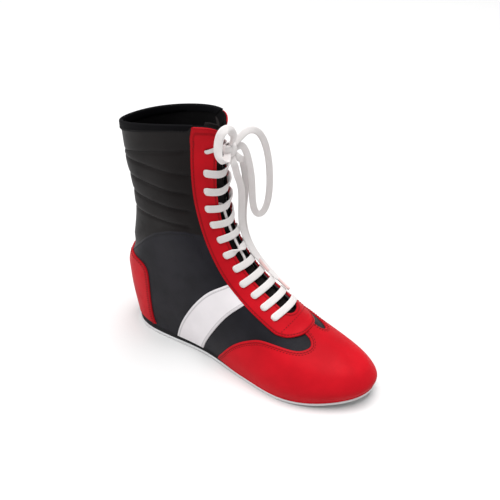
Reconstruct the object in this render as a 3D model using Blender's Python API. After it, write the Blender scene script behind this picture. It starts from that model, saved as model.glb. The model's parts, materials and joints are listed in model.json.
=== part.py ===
"""High lace-up boxing boot for the right foot: flat rubber sole, soft hollow upper, flat white laces.

X runs from heel to toe, Y to the wearer's left, which is the inner side of this foot, and Z up.
All sizes are in millimetres and are turned into metres when a mesh is made.
"""

import bpy
import bmesh
import numpy as np

NAME = "boxing_boot"
MM = 0.001

# Sizes of the foot that the boot is made for
SOLE_LENGTH = 288.0
BALL_WIDTH = 100.0
SHAFT_HEIGHT = 250.0
TOE_SPRING = 9.0
TOE_SWING = 3.2
ARCH_WAIST = 5.2

# Sole
OUTSOLE = 3.5
MIDSOLE_HEEL = 4.2
MIDSOLE_BALL = 1.8
OUTSOLE_STEP = 1.6
MIDSOLE_STEP = 0.8
ARCH_LIFT = 1.4
INSOLE = 3.0
INSOLE_CLEAR = 0.9
TREAD_ROUND = 1.6
GAP = 0.3

# Upper and what is sewn on it
WALL = 2.0
OVERLAY_GAP = 0.7
OVERLAY = 0.9
TONGUE_GAP = 1.2
TONGUE = 2.2
THROAT_HALF = 9.0
THROAT_START = 4.5
EYESTAY_OUTER = 32.0
TAB_FRONT = -17.5
BINDING = 7.0

# Laces
LACE_WIDTH = 6.6
LACE_THICK = 1.6
LACE_CLEAR = 0.45
HOLE_REACH = 21.0
HOLE_FIRST = 16.4
HOLE_PITCH = 14.4
HOLE_GROWTH = 0.16
HOLE_COUNT = 12
HOLE_LAST_EXTRA = 3.1
CORD_RADIUS = 2.3

# Middle of the finished box, taken off so that the origin is under the centre
MIDDLE_X = 140.4
MIDDLE_Y = -2.9

# One row for each section of the last, from the toe round the side to the heel, drawn for a 288 mm sole,
# a 100 mm ball and a 250 mm shaft. Each section climbs from the sole edge to the top line through three
# rails between, and x and half width are given at all five. "over" is 1 where the top of the section
# lies on the ridge of the foot and turns over it, and 0 where it ends at the collar. "inner" is the share
# of the half widths that the inner side of the foot has.
LAST_COLUMNS = (
    "sole_x", "sole_w", "low_x", "low_w", "mid_x", "mid_w", "high_x", "high_w", "top_x", "top_w", "top_z", "over",
    "inner",
)
TOP_Z, OVER, INNER = (LAST_COLUMNS.index(name) for name in ("top_z", "over", "inner"))
LAST = (
    (285.0, 0.0, 286.5, 0.0, 280.4, 0.0, 271.2, 0.0, 257.0, 0.0, 39.5, 1.0, 1.0),
    (278.4, 18.0, 280.4, 19.4, 273.6, 17.6, 264.2, 12.6, 251.5, 0.0, 42.0, 1.0, 0.88),
    (260.0, 34.0, 261.0, 36.2, 255.3, 31.6, 249.0, 21.4, 243.0, 0.0, 45.5, 1.0, 0.89),
    (234.0, 46.0, 234.0, 48.2, 231.5, 41.4, 230.5, 28.2, 230.0, 0.0, 51.5, 1.0, 0.87),
    (205.0, 48.3, 205.5, 50.0, 206.0, 43.2, 209.0, 29.8, 213.0, 0.0, 61.0, 1.0, 0.92),
    (174.0, 41.0, 176.0, 44.0, 181.0, 39.5, 186.5, 27.5, 193.0, 0.0, 75.5, 1.0, 0.98),
    (144.0, 35.0, 148.5, 38.5, 157.0, 35.5, 164.0, 25.0, 171.0, 0.0, 90.0, 1.0, 1.0),
    (117.0, 32.0, 123.0, 35.5, 133.5, 34.0, 141.5, 24.0, 149.0, 0.0, 108.0, 1.0, 1.0),
    (93.0, 31.5, 99.5, 35.0, 112.0, 33.5, 121.5, 24.0, 130.5, 0.0, 133.0, 1.0, 1.0),
    (72.0, 32.0, 78.0, 34.5, 92.0, 33.0, 107.5, 24.0, 120.0, 0.0, 165.0, 1.0, 1.0),
    (54.0, 32.0, 59.0, 33.5, 74.0, 32.0, 97.0, 26.0, 117.0, 0.0, 202.0, 1.0, 1.0),
    (39.0, 31.0, 42.0, 32.5, 57.0, 31.0, 84.0, 28.5, 118.0, 0.0, 239.0, 0.5, 1.0),
    (26.0, 28.0, 27.0, 29.5, 42.0, 29.0, 68.0, 30.0, 106.0, 21.0, 253.5, 0.0, 1.0),
    (15.0, 22.0, 13.0, 24.0, 28.0, 24.5, 43.0, 28.5, 66.0, 31.5, 249.5, 0.0, 1.0),
    (7.5, 13.0, 1.5, 15.0, 17.0, 16.0, 17.5, 21.0, 20.0, 24.0, 239.5, 0.0, 1.0),
    (4.5, 0.0, -5.5, 0.0, 11.5, 0.0, 5.5, 0.0, 0.0, 0.0, 234.0, 0.0, 1.0),
)
RAIL_HEIGHT = np.array([0.0, 0.25, 0.58, 0.82, 1.0])
TOP = len(RAIL_HEIGHT) - 1
HALF = len(LAST) - 1
LOOP = 2 * HALF

# Edge of the toe cap, as section number and length up the wall from the sole edge
TOE_CAP_EDGE = (
    (6.5, 1.0),
    (6.3, 15.0),
    (5.95, 33.5),
    (5.42, 46.5),
    (4.92, 51.3),
    (4.15, 51.8),
    (3.65, 52.8),
    (3.35, 56.5),
)
# Edge of the strip between the two lobes of the vamp, counted the same way
LOBE_TOP = (
    (3.35, 64.0),
    (3.5, 68.5),
    (3.65, 71.2),
)
# Front edge of the heel counter, as section number and length up the wall
COUNTER_EDGE = (
    (10.6, 2.0),
    (10.83, 8.0),
    (10.98, 26.0),
    (11.1, 50.0),
    (11.33, 71.0),
    (11.7, 79.0),
    (12.3, 83.5),
    (13.2, 86.0),
    (14.1, 88.0),
    (15.0, 89.0),
)
# Side band: section numbers of its two edges at the sole and under the eyestay
BAND_SOLE = (7.35, 8.95)
BAND_TOP = (6.35, 7.3)
# Where the standing lace runs across the throat, as place along it and distance from the middle
STRAND = ((14.0, -4.0), (60.0, -4.5), (95.0, -1.0), (130.0, 2.5), (165.0, 3.0), (199.2, 0.0))
KNOT_CENTRE = (127.9, -5.0, 231.5)
KNOT_RADII = (6.0, 8.6, 8.4)
# Ways in which the loops and ends leave the knot
BOW_EXITS = ((0.45, 0.6, 0.65), (0.6, 0.75, -0.1))
SMALL_EXITS = ((0.4, -0.1, 0.9), (0.45, -0.85, -0.25))
LONG_EXIT = (0.6, 0.45, -0.65)
SHORT_EXIT = (0.55, -0.15, -0.8)
# Bow loops, from the first exit out and back to the second
BOW_LOOP = (
    (137.0, 12.5, 246.0),
    (142.5, 22.0, 241.0),
    (146.5, 29.0, 223.0),
    (148.0, 32.5, 199.0),
    (147.5, 33.0, 176.0),
    (144.5, 31.0, 158.5),
    (140.0, 26.5, 153.0),
    (137.0, 22.0, 161.0),
    (137.0, 18.5, 180.0),
    (138.0, 14.5, 203.0),
)
SMALL_LOOP = (
    (131.5, -10.5, 253.5),
    (128.5, -16.0, 253.0),
    (126.8, -19.5, 247.0),
    (126.8, -22.0, 239.5),
    (128.8, -24.0, 232.0),
    (133.0, -23.6, 227.3),
)
# Hanging ends of the lace: place along the throat, reach across it and lift off the form
END_LONG = (
    (176.0, 9.5, 16.5),
    (158.0, 13.0, 18.0),
    (134.0, 16.5, 15.5),
    (110.0, 19.5, 10.5),
    (88.0, 20.5, 7.0),
    (66.0, 20.0, 6.1),
    (44.0, 17.5, 6.1),
    (26.0, 15.0, 6.1),
)
END_SHORT = (
    (173.0, 0.5, 14.8),
    (155.0, 3.5, 15.0),
    (132.0, 7.0, 12.0),
    (112.0, 8.5, 8.0),
    (96.0, 9.0, 6.3),
    (82.0, 8.6, 6.1),
    (68.0, 8.6, 6.1),
    (54.0, 8.4, 6.1),
)

# name: (red, green, blue, roughness)
COLOURS = {
    "sole_rubber": (0.62, 0.62, 0.63, 0.6),
    "midsole_black": (0.02, 0.02, 0.022, 0.6),
    "insole_fabric": (0.03, 0.03, 0.03, 0.9),
    "upper_black": (0.03, 0.028, 0.03, 0.55),
    "tongue_black": (0.015, 0.015, 0.016, 0.8),
    "red_leather": (0.6, 0.015, 0.025, 0.45),
    "white_leather": (0.85, 0.83, 0.85, 0.5),
    "binding_black": (0.012, 0.012, 0.013, 0.8),
    "lace_white": (0.8, 0.76, 0.74, 0.9),
}


def clear_scene():
    for obj in list(bpy.data.objects):
        bpy.data.objects.remove(obj, do_unlink=True)


def make_material(name):
    red, green, blue, rough = COLOURS[name]
    material = bpy.data.materials.new(name)
    material.use_nodes = True
    shader = material.node_tree.nodes["Principled BSDF"]
    shader.inputs["Base Color"].default_value = (red, green, blue, 1.0)
    shader.inputs["Roughness"].default_value = rough
    return material


def ramp(start, end, x):
    t = np.clip((x - start) / (end - start), 0.0, 1.0)
    return t * t * (3.0 - 2.0 * t)


def toe_lift(x):
    return TOE_SPRING * np.clip((x / SOLE_LENGTH - 0.68) / 0.32, 0.0, 1.0) ** 2


def midsole_thickness(x):
    return MIDSOLE_HEEL + (MIDSOLE_BALL - MIDSOLE_HEEL) * ramp(20.0, 190.0, x)


def feather_height(x):
    """Height of the edge where the upper meets the sole."""
    return toe_lift(x) + OUTSOLE + 2.0 * GAP + midsole_thickness(x)


def centre_line(x, z):
    """How far the middle of the last lies to the inner side: the toe swings in, the arch draws the waist out."""
    toe = TOE_SWING * np.clip((x / SOLE_LENGTH - 0.653) / 0.347, 0.0, 1.0) ** 1.5
    waist = ARCH_WAIST * np.exp(-(((x - 158.0) / 42.0) ** 2)) * np.clip(1.0 - (z - 8.0) / 60.0, 0.0, 1.0)
    return toe - waist


def spline_weights(t):
    """Weights of the four control points of a uniform cubic spline."""
    return np.stack([(1 - t) ** 3, 3 * t**3 - 6 * t**2 + 4, -3 * t**3 + 3 * t**2 + 3 * t + 1, t**3], -1) / 6.0


def loop_controls(values):
    """Control points of the closed spline that passes through the values."""
    count = len(values)
    unit = np.eye(count)
    matrix = (4.0 * unit + np.roll(unit, 1, 0) + np.roll(unit, -1, 0)) / 6.0
    return np.linalg.solve(matrix, values.reshape(count, -1)).reshape(values.shape)


def open_controls(count):
    """Matrix that turns the points of an open spline with free ends into its control points."""
    matrix = np.zeros((count + 2, count + 2))
    for i in range(count):
        matrix[i + 1, i : i + 3] = (1 / 6, 4 / 6, 1 / 6)
    matrix[0, :3] = (1, -2, 1)
    matrix[-1, -3:] = (1, -2, 1)
    return np.linalg.inv(matrix)[:, 1:-1]


def last_points(row, side):
    """The five rail points of one section, on the outer (-1) or inner (+1) side."""
    data = np.array(row)
    x = data[0:TOP_Z:2] * SOLE_LENGTH / 288.0
    width = data[1:TOP_Z:2] * BALL_WIDTH / 100.0 * (data[INNER] if side > 0.0 else 1.0)
    base = feather_height(x[0])
    z = base + RAIL_HEIGHT * (data[TOP_Z] * SHAFT_HEIGHT / 250.0 - base)
    return np.column_stack([x, side * width, z])


OUTER_ROWS = [last_points(row, -1.0) for row in LAST]
INNER_ROWS = [last_points(row, 1.0) for row in LAST[-2:0:-1]]
RAIL_CONTROLS = loop_controls(np.array(OUTER_ROWS + INNER_ROWS))
OVER_CONTROLS = loop_controls(np.array([row[OVER] for row in LAST + LAST[-2:0:-1]]))
SECTION_MATRIX = open_controls(TOP + 3)


def form(u, v):
    """Points of the outside of the upper. u counts sections from the toe round the outer side to the heel (15)
    and back along the inner side (30 is the toe again), v counts rails from the sole edge (0) to the top line (4)."""
    u, v = np.broadcast_arrays(np.asarray(u, float), np.asarray(v, float))
    shape = u.shape
    u, v = u.ravel() % LOOP, np.clip(v.ravel(), 0.0, TOP)
    first = np.floor(u).astype(int)
    weights = spline_weights(u - first)
    index = (first[:, None] + np.array([-1, 0, 1, 2])) % LOOP
    rails = np.einsum("ij,ijkl->ikl", weights, RAIL_CONTROLS[index])
    over = np.clip(np.einsum("ij,ij->i", weights, OVER_CONTROLS[index]), 0.0, 1.0)[:, None]
    under = 2.0 * rails[:, 0] - rails[:, 1]
    across = rails[:, 3] * np.array([1.0, -1.0, 1.0])
    beyond = 2.0 * rails[:, 4] - rails[:, 3]
    points = np.concatenate([under[:, None], rails, (over * across + (1 - over) * beyond)[:, None]], 1)
    controls = np.einsum("ij,njk->nik", SECTION_MATRIX, points)
    place = v + 1.0
    first = np.minimum(np.floor(place).astype(int), TOP + 1)
    weights = spline_weights(place - first)
    index = first[:, None] + np.arange(4)
    found = np.einsum("nj,njk->nk", weights, controls[np.arange(len(u))[:, None], index])
    found[:, 1] += centre_line(found[:, 0], found[:, 2])
    return found.reshape(shape + (3,))


def normals(u, v):
    """Outward unit normals of the form. On the ridge both sides share one normal."""
    u, v = np.broadcast_arrays(np.asarray(u, float), np.asarray(v, float))
    inside = np.clip(v, 0.02, TOP - 0.03)

    def one_side(a):
        along = form(a + 0.01, inside) - form(a - 0.01, inside)
        up = form(a, inside + 0.015) - form(a, inside - 0.015)
        out = np.cross(up, along)
        return out / np.linalg.norm(out, axis=-1, keepdims=True)

    here = one_side(u)
    ridge = (v > TOP - 0.02) & (np.minimum(u % LOOP, -u % LOOP) <= 11.0)
    both = here + one_side(-u)
    both = both / np.linalg.norm(both, axis=-1, keepdims=True)
    return np.where(ridge[..., None], both, here)


def skin(u, v, offset):
    """The form moved out by an offset. The sole edge moves level, so that it stays on the sole."""
    u, v = np.broadcast_arrays(np.asarray(u, float), np.asarray(v, float))
    step = normals(u, v) * offset
    step[..., 2] = np.where(v <= 0.0, 0.0, step[..., 2])
    return form(u, v) + step


WALL_V = np.linspace(0.0, TOP, 161)


def rise(u):
    """Length up the wall from the sole edge at each entry of WALL_V, for one section."""
    points = form(np.full(len(WALL_V), u), WALL_V)
    return np.concatenate([[0.0], np.cumsum(np.linalg.norm(np.diff(points, axis=0), axis=1))])


def v_at_rise(u, length):
    return float(np.interp(length, rise(u), WALL_V))


RIDGE_U = np.linspace(2.5, 11.0, 600)
RIDGE_POINTS = form(RIDGE_U, np.full(600, float(TOP)))
RIDGE_LENGTH = np.concatenate([[0.0], np.cumsum(np.linalg.norm(np.diff(RIDGE_POINTS, axis=0), axis=1))])
RIDGE_LENGTH = RIDGE_LENGTH - np.interp(THROAT_START, RIDGE_U, RIDGE_LENGTH)
THROAT_LENGTH = float(RIDGE_LENGTH[-1])


def throat_line(place, reach):
    """Section and rail numbers of points square to the ridge, at a place along the throat counted in
    millimetres from its lower end, and at distances from the ridge. Outer side."""
    at = float(np.interp(place, RIDGE_LENGTH, RIDGE_U))
    here = form(at, TOP)
    along = form(at + 0.005, TOP) - form(at - 0.005, TOP)
    along[1] = 0.0
    along = along / np.linalg.norm(along)
    v = np.linspace(TOP, 1.4, 41)
    u = np.linspace(at - 1.6, at + 4.0, 141)
    ahead = (form(u[:, None], v[None, :]) - here) @ along
    found = np.empty(len(v))
    nearest = at
    for j in range(len(v)):
        crossing = np.nonzero((ahead[:-1, j] <= 0.0) & (ahead[1:, j] > 0.0))[0]
        if len(crossing) == 0:
            found[j] = nearest
            continue
        k = crossing[np.argmin(np.abs(u[crossing] - nearest))]
        step = -ahead[k, j] / (ahead[k + 1, j] - ahead[k, j])
        found[j] = u[k] + step * (u[k + 1] - u[k])
        nearest = found[j]
    points = form(found, v)
    distance = np.concatenate([[0.0], np.cumsum(np.linalg.norm(np.diff(points, axis=0), axis=1))])
    reach = np.asarray(reach, float)
    return np.interp(reach, distance, found), np.interp(reach, distance, v)


def throat_gap(place):
    """Half width of the throat: a round lower end, then even."""
    t = np.clip(place / THROAT_HALF, 0.0, 1.0)
    return THROAT_HALF * np.sqrt(1.0 - (1.0 - t) ** 2)


def throat_edge():
    """The edge of the throat as section and rail numbers, ending on the collar."""
    places = np.concatenate([np.linspace(0.0, THROAT_HALF, 9), np.linspace(16.0, THROAT_LENGTH - 2.0, 40)])
    found = np.array([np.ravel(throat_line(p, [throat_gap(p)])) for p in places])
    return np.vstack([found, [(found[-1, 0] + 0.2, TOP)]])


def mesh_object(name, points, faces, material, collection):
    """A closed mesh object from points in millimetres."""
    mesh = bpy.data.meshes.new(name)
    moved = (np.asarray(points) - np.array([MIDDLE_X, MIDDLE_Y, 0.0])) * MM
    mesh.from_pydata(moved.tolist(), [], faces)
    work = bmesh.new()
    work.from_mesh(mesh)
    bmesh.ops.recalc_face_normals(work, faces=work.faces)
    work.to_mesh(mesh)
    work.free()
    obj = bpy.data.objects.new(name, mesh)
    obj.data.materials.append(material)
    collection.objects.link(obj)
    return obj


def between(outer, inner, faces):
    """Points and faces of the solid between two copies of a sheet, with walls along its open edges."""
    count = len(outer)
    edges = {}
    for face in faces:
        for a, b in zip(face, face[1:] + face[:1]):
            key = (min(a, b), max(a, b))
            edges[key] = None if key in edges else (a, b)
    walls = [(b, a, a + count, b + count) for a, b in filter(None, edges.values())]
    inside = [tuple(i + count for i in reversed(face)) for face in faces]
    return np.vstack([outer, inner]), list(faces) + inside + walls


def sheet_faces(ids, keep=None):
    """Faces of a grid of point numbers. keep marks the cells that are there."""
    rows, columns = ids.shape
    faces = []
    for i in range(rows - 1):
        for j in range(columns - 1):
            if keep is not None and not keep[i, j]:
                continue
            corners = (ids[i, j], ids[i + 1, j], ids[i + 1, j + 1], ids[i, j + 1])
            face = tuple(int(c) for k, c in enumerate(corners) if c != corners[k - 1])
            if len(face) > 2:
                faces.append(face)
    return faces


def sewn_sheet(name, u, v, ridge_rows, outer, inner, material, collection, keep=None):
    """A solid on both sides of the foot from a grid of section and rail numbers for the outer side. The last
    column of the rows marked in ridge_rows lies on the ridge, where the two sides join."""
    rows, columns = u.shape
    ids = np.arange(rows * columns).reshape(rows, columns)
    other = ids + rows * columns
    for i in np.nonzero(ridge_rows)[0]:
        other[i, -1] = ids[i, -1]
    for i in range(rows):
        for j in range(columns):
            if abs(u[i, j] % HALF) < 1e-9:
                other[i, j] = ids[i, j]
    faces = sheet_faces(ids, keep) + [tuple(reversed(f)) for f in sheet_faces(other, keep)]
    flat_u = np.concatenate([u.ravel(), (-u.ravel()) % LOOP])
    flat_v = np.concatenate([v.ravel(), v.ravel()])
    used = sorted({i for f in faces for i in f})
    number = {old: new for new, old in enumerate(used)}
    faces = [tuple(number[i] for i in f) for f in faces]
    flat_u, flat_v = flat_u[used], flat_v[used]
    points, faces = between(skin(flat_u, flat_v, outer), skin(flat_u, flat_v, inner), faces)
    return mesh_object(name, points, faces, material, collection)


UPPER_U = np.unique(
    np.concatenate(
        [
            np.arange(0.0, 2.0, 0.25),
            np.arange(2.0, HALF + 0.01, 0.5),
            [THROAT_START + 0.08, THROAT_START + 0.22, 10.75, 11.25, 13.75, 14.25, 14.75],
        ]
    )
)


def build_upper(edge, materials, collection):
    top = np.where(UPPER_U <= THROAT_START, TOP, np.interp(UPPER_U, edge[:, 0], edge[:, 1], right=TOP))
    steps = np.linspace(0.0, 1.0, 11)
    u = np.repeat(UPPER_U[:, None], len(steps), 1)
    v = top[:, None] * steps[None, :]
    ridge = UPPER_U <= THROAT_START
    return sewn_sheet("upper", u, v, ridge, 0.0, -WALL, materials["upper_black"], collection)


def build_toe_cap(materials, collection):
    edge = np.array(TOE_CAP_EDGE)[::-1]
    lobe = np.array(LOBE_TOP)
    front = [0, 0.25, 0.5, 0.75, 1, 1.25, 1.5, 1.75, 2, 2.5, 3, 3.35, 3.5, 3.65]
    sections = np.array(front + [3.85, 4.15, 4.5, 4.92, 5.2, 5.42, 5.7, 5.95, 6.15, 6.3, 6.5])
    low_steps, lobe_steps, high_steps = np.linspace(0, 1, 8), np.linspace(0, 1, 2), np.linspace(0, 1, 3)
    v = []
    for s in sections:
        lower = v_at_rise(s, np.interp(s, edge[:, 0], edge[:, 1]))
        upper = v_at_rise(s, np.interp(s, lobe[:, 0], lobe[:, 1]))
        if s < edge[0, 0]:
            fade = ramp(2.5, edge[0, 0], s)
            lower = 0.7 * TOP + (lower - 0.7 * TOP) * fade
            upper = 0.8 * TOP + (upper - 0.8 * TOP) * fade
        row = [0.06 + (lower - 0.06) * low_steps, (lower + (upper - lower) * lobe_steps)[1:]]
        row.append((upper + (TOP - upper) * high_steps)[1:])
        v.append(np.concatenate(row))
    v = np.array(v)
    u = np.repeat(sections[:, None], v.shape[1], 1)
    keep = np.ones((len(sections) - 1, v.shape[1] - 1), bool)
    low, mid = len(low_steps) - 1, len(low_steps) + len(lobe_steps) - 2
    keep[sections[:-1] >= edge[0, 0], low:mid] = False
    keep[sections[:-1] >= lobe[-1, 0], mid:] = False
    ridge = sections <= lobe[-1, 0]
    lift = OVERLAY_GAP + OVERLAY
    return sewn_sheet("toe_cap", u, v, ridge, lift, OVERLAY_GAP, materials["red_leather"], collection, keep)


def build_eyestay(edge, materials, collection):
    places = np.concatenate(
        [[TAB_FRONT, -16.0, -12.0, -7.0, -3.0, 0.0, 1.2, 3.0, 5.5, 9.0], np.linspace(17.0, THROAT_LENGTH - 7.0, 22)]
    )
    tab = np.array([(TAB_FRONT, 9.0), (-16.0, 13.5), (-12.0, 20.5), (-7.0, 27.0), (-3.0, 30.0), (3.0, EYESTAY_OUTER)])
    steps = np.linspace(1.0, 0.0, 5)
    u, v = [], []
    for place in places:
        outer = np.interp(place, tab[:, 0], tab[:, 1])
        inner = float(throat_gap(place)) + (0.0 if place <= 0.0 else 0.15)
        row_u, row_v = throat_line(place, inner + (outer - inner) * steps)
        u.append(row_u)
        v.append(row_v)
    rim = np.linspace(12.18, edge[-1, 0] + 0.02, len(steps))
    u.append(rim)
    v.append(np.full(len(steps), TOP - 0.005))
    u, v = np.array(u), np.array(v)
    ridge = np.concatenate([places <= 0.0, [False]])
    v[ridge, -1] = TOP
    lift = OVERLAY_GAP + OVERLAY
    return sewn_sheet("eyestay", u, v, ridge, lift, OVERLAY_GAP, materials["red_leather"], collection)


def build_heel_counter(materials, collection):
    edge = np.array(COUNTER_EDGE)
    round_heel = [11.5, 12.0, 12.5, 13.0, 13.5, 13.75, 14.0, 14.25, 14.5, 14.75]
    sections = np.unique(np.concatenate([edge[edge[:, 0] < 12.0, 0], [HALF], round_heel]))
    steps = np.linspace(0.0, 1.0, 9)
    tops = np.array([v_at_rise(s, np.interp(s, edge[:, 0], edge[:, 1])) for s in sections])
    v = 0.025 + (tops[:, None] - 0.025) * steps[None, :]
    u = np.repeat(sections[:, None], len(steps), 1)
    none = np.zeros(len(sections), bool)
    lift = OVERLAY_GAP + OVERLAY
    return sewn_sheet("heel_counter", u, v, none, lift, OVERLAY_GAP, materials["red_leather"], collection)


def build_binding(materials, collection):
    sections = np.concatenate([[12.25], np.arange(12.5, HALF + 0.01, 0.25)])
    low = np.array([v_at_rise(s, rise(s)[-1] - BINDING) for s in sections])
    steps = np.linspace(0.0, 1.0, 3)
    v = low[:, None] + (TOP - low[:, None]) * steps[None, :]
    u = np.repeat(sections[:, None], len(steps), 1)
    none = np.zeros(len(sections), bool)
    lift = OVERLAY_GAP + OVERLAY
    return sewn_sheet("collar_binding", u, v, none, lift, OVERLAY_GAP, materials["binding_black"], collection)


def build_side_band(name, inner_side, materials, collection):
    places = np.linspace(20.0, 110.0, 46)
    under = np.array([np.ravel(throat_line(p, [EYESTAY_OUTER + 0.6])) for p in places])
    across = np.linspace(0.0, 1.0, 5)
    along = np.linspace(0.0, 1.0, 11)
    start = BAND_SOLE[0] + (BAND_SOLE[1] - BAND_SOLE[0]) * across
    end = BAND_TOP[0] + (BAND_TOP[1] - BAND_TOP[0]) * across
    end_v = np.interp(end, under[:, 0], under[:, 1])
    bend = along**1.25
    u = start[None, :] + (end - start)[None, :] * bend[:, None]
    v = 0.05 + (end_v[None, :] - 0.05) * along[:, None]
    if inner_side:
        u = LOOP - u
    faces = sheet_faces(np.arange(u.size).reshape(u.shape))
    lift = OVERLAY_GAP + OVERLAY
    outer = skin(u, v, lift).reshape(-1, 3)
    inner = skin(u, v, OVERLAY_GAP).reshape(-1, 3)
    points, faces = between(outer, inner, faces)
    return mesh_object(name, points, faces, materials["white_leather"], collection)


def build_tongue(materials, collection):
    places = np.concatenate([np.linspace(-24.0, 0.0, 4), np.linspace(8.0, THROAT_LENGTH - 6.0, 17)])
    reach = np.linspace(0.0, 1.0, 4)
    half = np.interp(places, [-24.0, 0.0, 40.0], [14.0, 20.0, 24.0])
    outer, inner = [], []
    for place, width in zip(places, half):
        u, v = throat_line(place, width * reach)
        v[0] = TOP
        u = np.concatenate([u[::-1], (-u[1:]) % LOOP])
        v = np.concatenate([v[::-1], v[1:]])
        outer.append(skin(u, v, -WALL - TONGUE_GAP))
        inner.append(skin(u, v, -WALL - TONGUE_GAP - TONGUE))
    rows = np.array(outer), np.array(inner)
    grown = []
    for sheet in rows:
        extra = []
        for height, narrow in ((5.0, 1.0), (10.0, 0.96), (14.0, 0.82)):
            top = sheet[-1].copy()
            top[:, 1] = top[:, 1] * narrow
            top[:, 2] += height
            extra.append(top)
        grown.append(np.concatenate([sheet, np.array(extra)]))
    ids = np.arange(grown[0].shape[0] * grown[0].shape[1]).reshape(grown[0].shape[:2])
    points, faces = between(grown[0].reshape(-1, 3), grown[1].reshape(-1, 3), sheet_faces(ids))
    return mesh_object("tongue", points, faces, materials["tongue_black"], collection)


def sole_outline():
    """The sole edge of the upper seen from above, as two matching rows of points, outer and inner side."""
    u = np.unique(np.concatenate([np.arange(0.0, HALF + 0.01, 0.5), [0.25, 14.75]]))
    return form(u, 0.0)[:, :2], form(-u, 0.0)[:, :2]


def plate(name, rings, material, collection):
    """A flat solid inside the sole outline. Each ring has a step outwards from the outline and a height rule."""
    outer, inner = sole_outline()
    closed = np.vstack([outer, inner[-2:0:-1]])
    along = np.roll(closed, -1, 0) - np.roll(closed, 1, 0)
    side = np.column_stack([-along[:, 1], along[:, 0]])
    side = side / np.linalg.norm(side, axis=1, keepdims=True)
    middle = closed.mean(0)
    if ((closed - middle) * side).sum() < 0:
        side = -side
    count, half = len(closed), len(outer)
    points, faces = [], []
    for step, height in rings:
        ring = closed + step * side
        points.append(np.column_stack([ring, height(ring[:, 0])]))
    for k in range(len(rings) - 1):
        for i in range(count):
            j = (i + 1) % count
            faces.append((k * count + i, k * count + j, (k + 1) * count + j, (k + 1) * count + i))
    for k in (0, len(rings) - 1):
        base = k * count
        for i in range(half - 1):
            a, b = (count - i) % count, (count - i - 1) % count
            face = (base + i, base + i + 1, base + b, base + a)
            face = tuple(c for n, c in enumerate(face) if c != face[n - 1])
            faces.append(face)
    return mesh_object(name, np.vstack(points), faces, material, collection)


def build_sole(materials, collection):
    def tread(x):
        return toe_lift(x) + ARCH_LIFT * ramp(88.0, 112.0, x) * (1.0 - ramp(140.0, 166.0, x))

    def outsole_low(x):
        return toe_lift(x) + TREAD_ROUND

    def outsole_top(x):
        return toe_lift(x) + OUTSOLE

    def midsole_low(x):
        return outsole_top(x) + GAP

    def midsole_top(x):
        return midsole_low(x) + midsole_thickness(x)

    def insole_low(x):
        return midsole_top(x) + GAP

    def insole_top(x):
        return insole_low(x) + INSOLE

    plate(
        "outsole",
        ((0.4, tread), (OUTSOLE_STEP, outsole_low), (OUTSOLE_STEP, outsole_top)),
        materials["sole_rubber"],
        collection,
    )
    plate("midsole", ((MIDSOLE_STEP, midsole_low), (MIDSOLE_STEP, midsole_top)), materials["midsole_black"], collection)
    inside = -WALL - INSOLE_CLEAR
    plate("insole", ((inside, insole_low), (inside, insole_top)), materials["insole_fabric"], collection)


def hole_places():
    """Places of the lace holes along the throat, from the toe upwards, a little farther apart each time."""
    k = np.arange(HOLE_COUNT)
    places = HOLE_FIRST + HOLE_PITCH * k + HOLE_GROWTH * k * (k - 1)
    places[-1] += HOLE_LAST_EXTRA
    return places


def lace_strip(place_from, place_to, reaches, low, high):
    """A flat strip across the ridge: rows of points along it, outer face and inner face."""
    rows_out, rows_in = [], []
    for place in (place_from, place_to):
        u, v = throat_line(place, np.abs(reaches))
        v = np.where(np.abs(reaches) < 1e-6, TOP, v)
        u = np.where(np.asarray(reaches) > 0.0, (-u) % LOOP, u)
        rows_out.append(skin(u, v, high))
        rows_in.append(skin(u, v, low))
    return np.array(rows_out), np.array(rows_in)


def build_lace_bars(materials, collection):
    low = OVERLAY_GAP + OVERLAY + LACE_CLEAR
    high = low + LACE_THICK
    reaches = np.linspace(-HOLE_REACH, HOLE_REACH, 9)
    all_points, all_faces = [], []
    for place in hole_places():
        outer, inner = lace_strip(place - LACE_WIDTH / 2, place + LACE_WIDTH / 2, reaches, low, high)
        ids = np.arange(outer.shape[0] * outer.shape[1]).reshape(outer.shape[:2])
        points, faces = between(outer.reshape(-1, 3), inner.reshape(-1, 3), sheet_faces(ids))
        base = sum(len(p) for p in all_points)
        all_points.append(points)
        all_faces.extend(tuple(i + base for i in face) for face in faces)
    bars = mesh_object("lace_bars", np.vstack(all_points), all_faces, materials["lace_white"], collection)

    strand = np.array(STRAND)
    places = np.linspace(strand[0, 0], strand[-1, 0], 21)
    middle = np.interp(places, strand[:, 0], strand[:, 1])
    outer, inner = [], []
    for place, cross in zip(places, middle):
        reach = np.array([cross - 2.0, cross, cross + 2.0])
        u, v = throat_line(place, np.abs(reach))
        u = np.where(reach > 0.0, (-u) % LOOP, u)
        outer.append(skin(u, v, low + 0.6))
        inner.append(skin(u, v, low - 0.9))
    outer, inner = np.array(outer), np.array(inner)
    ids = np.arange(outer.shape[0] * 3).reshape(outer.shape[0], 3)
    points, faces = between(outer.reshape(-1, 3), inner.reshape(-1, 3), sheet_faces(ids))
    joiner = mesh_object("lace_strand", points, faces, materials["lace_white"], collection)
    join = bars.modifiers.new("strand", "BOOLEAN")
    join.operation = "UNION"
    join.solver = "EXACT"
    join.object = joiner
    return bars, joiner


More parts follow.
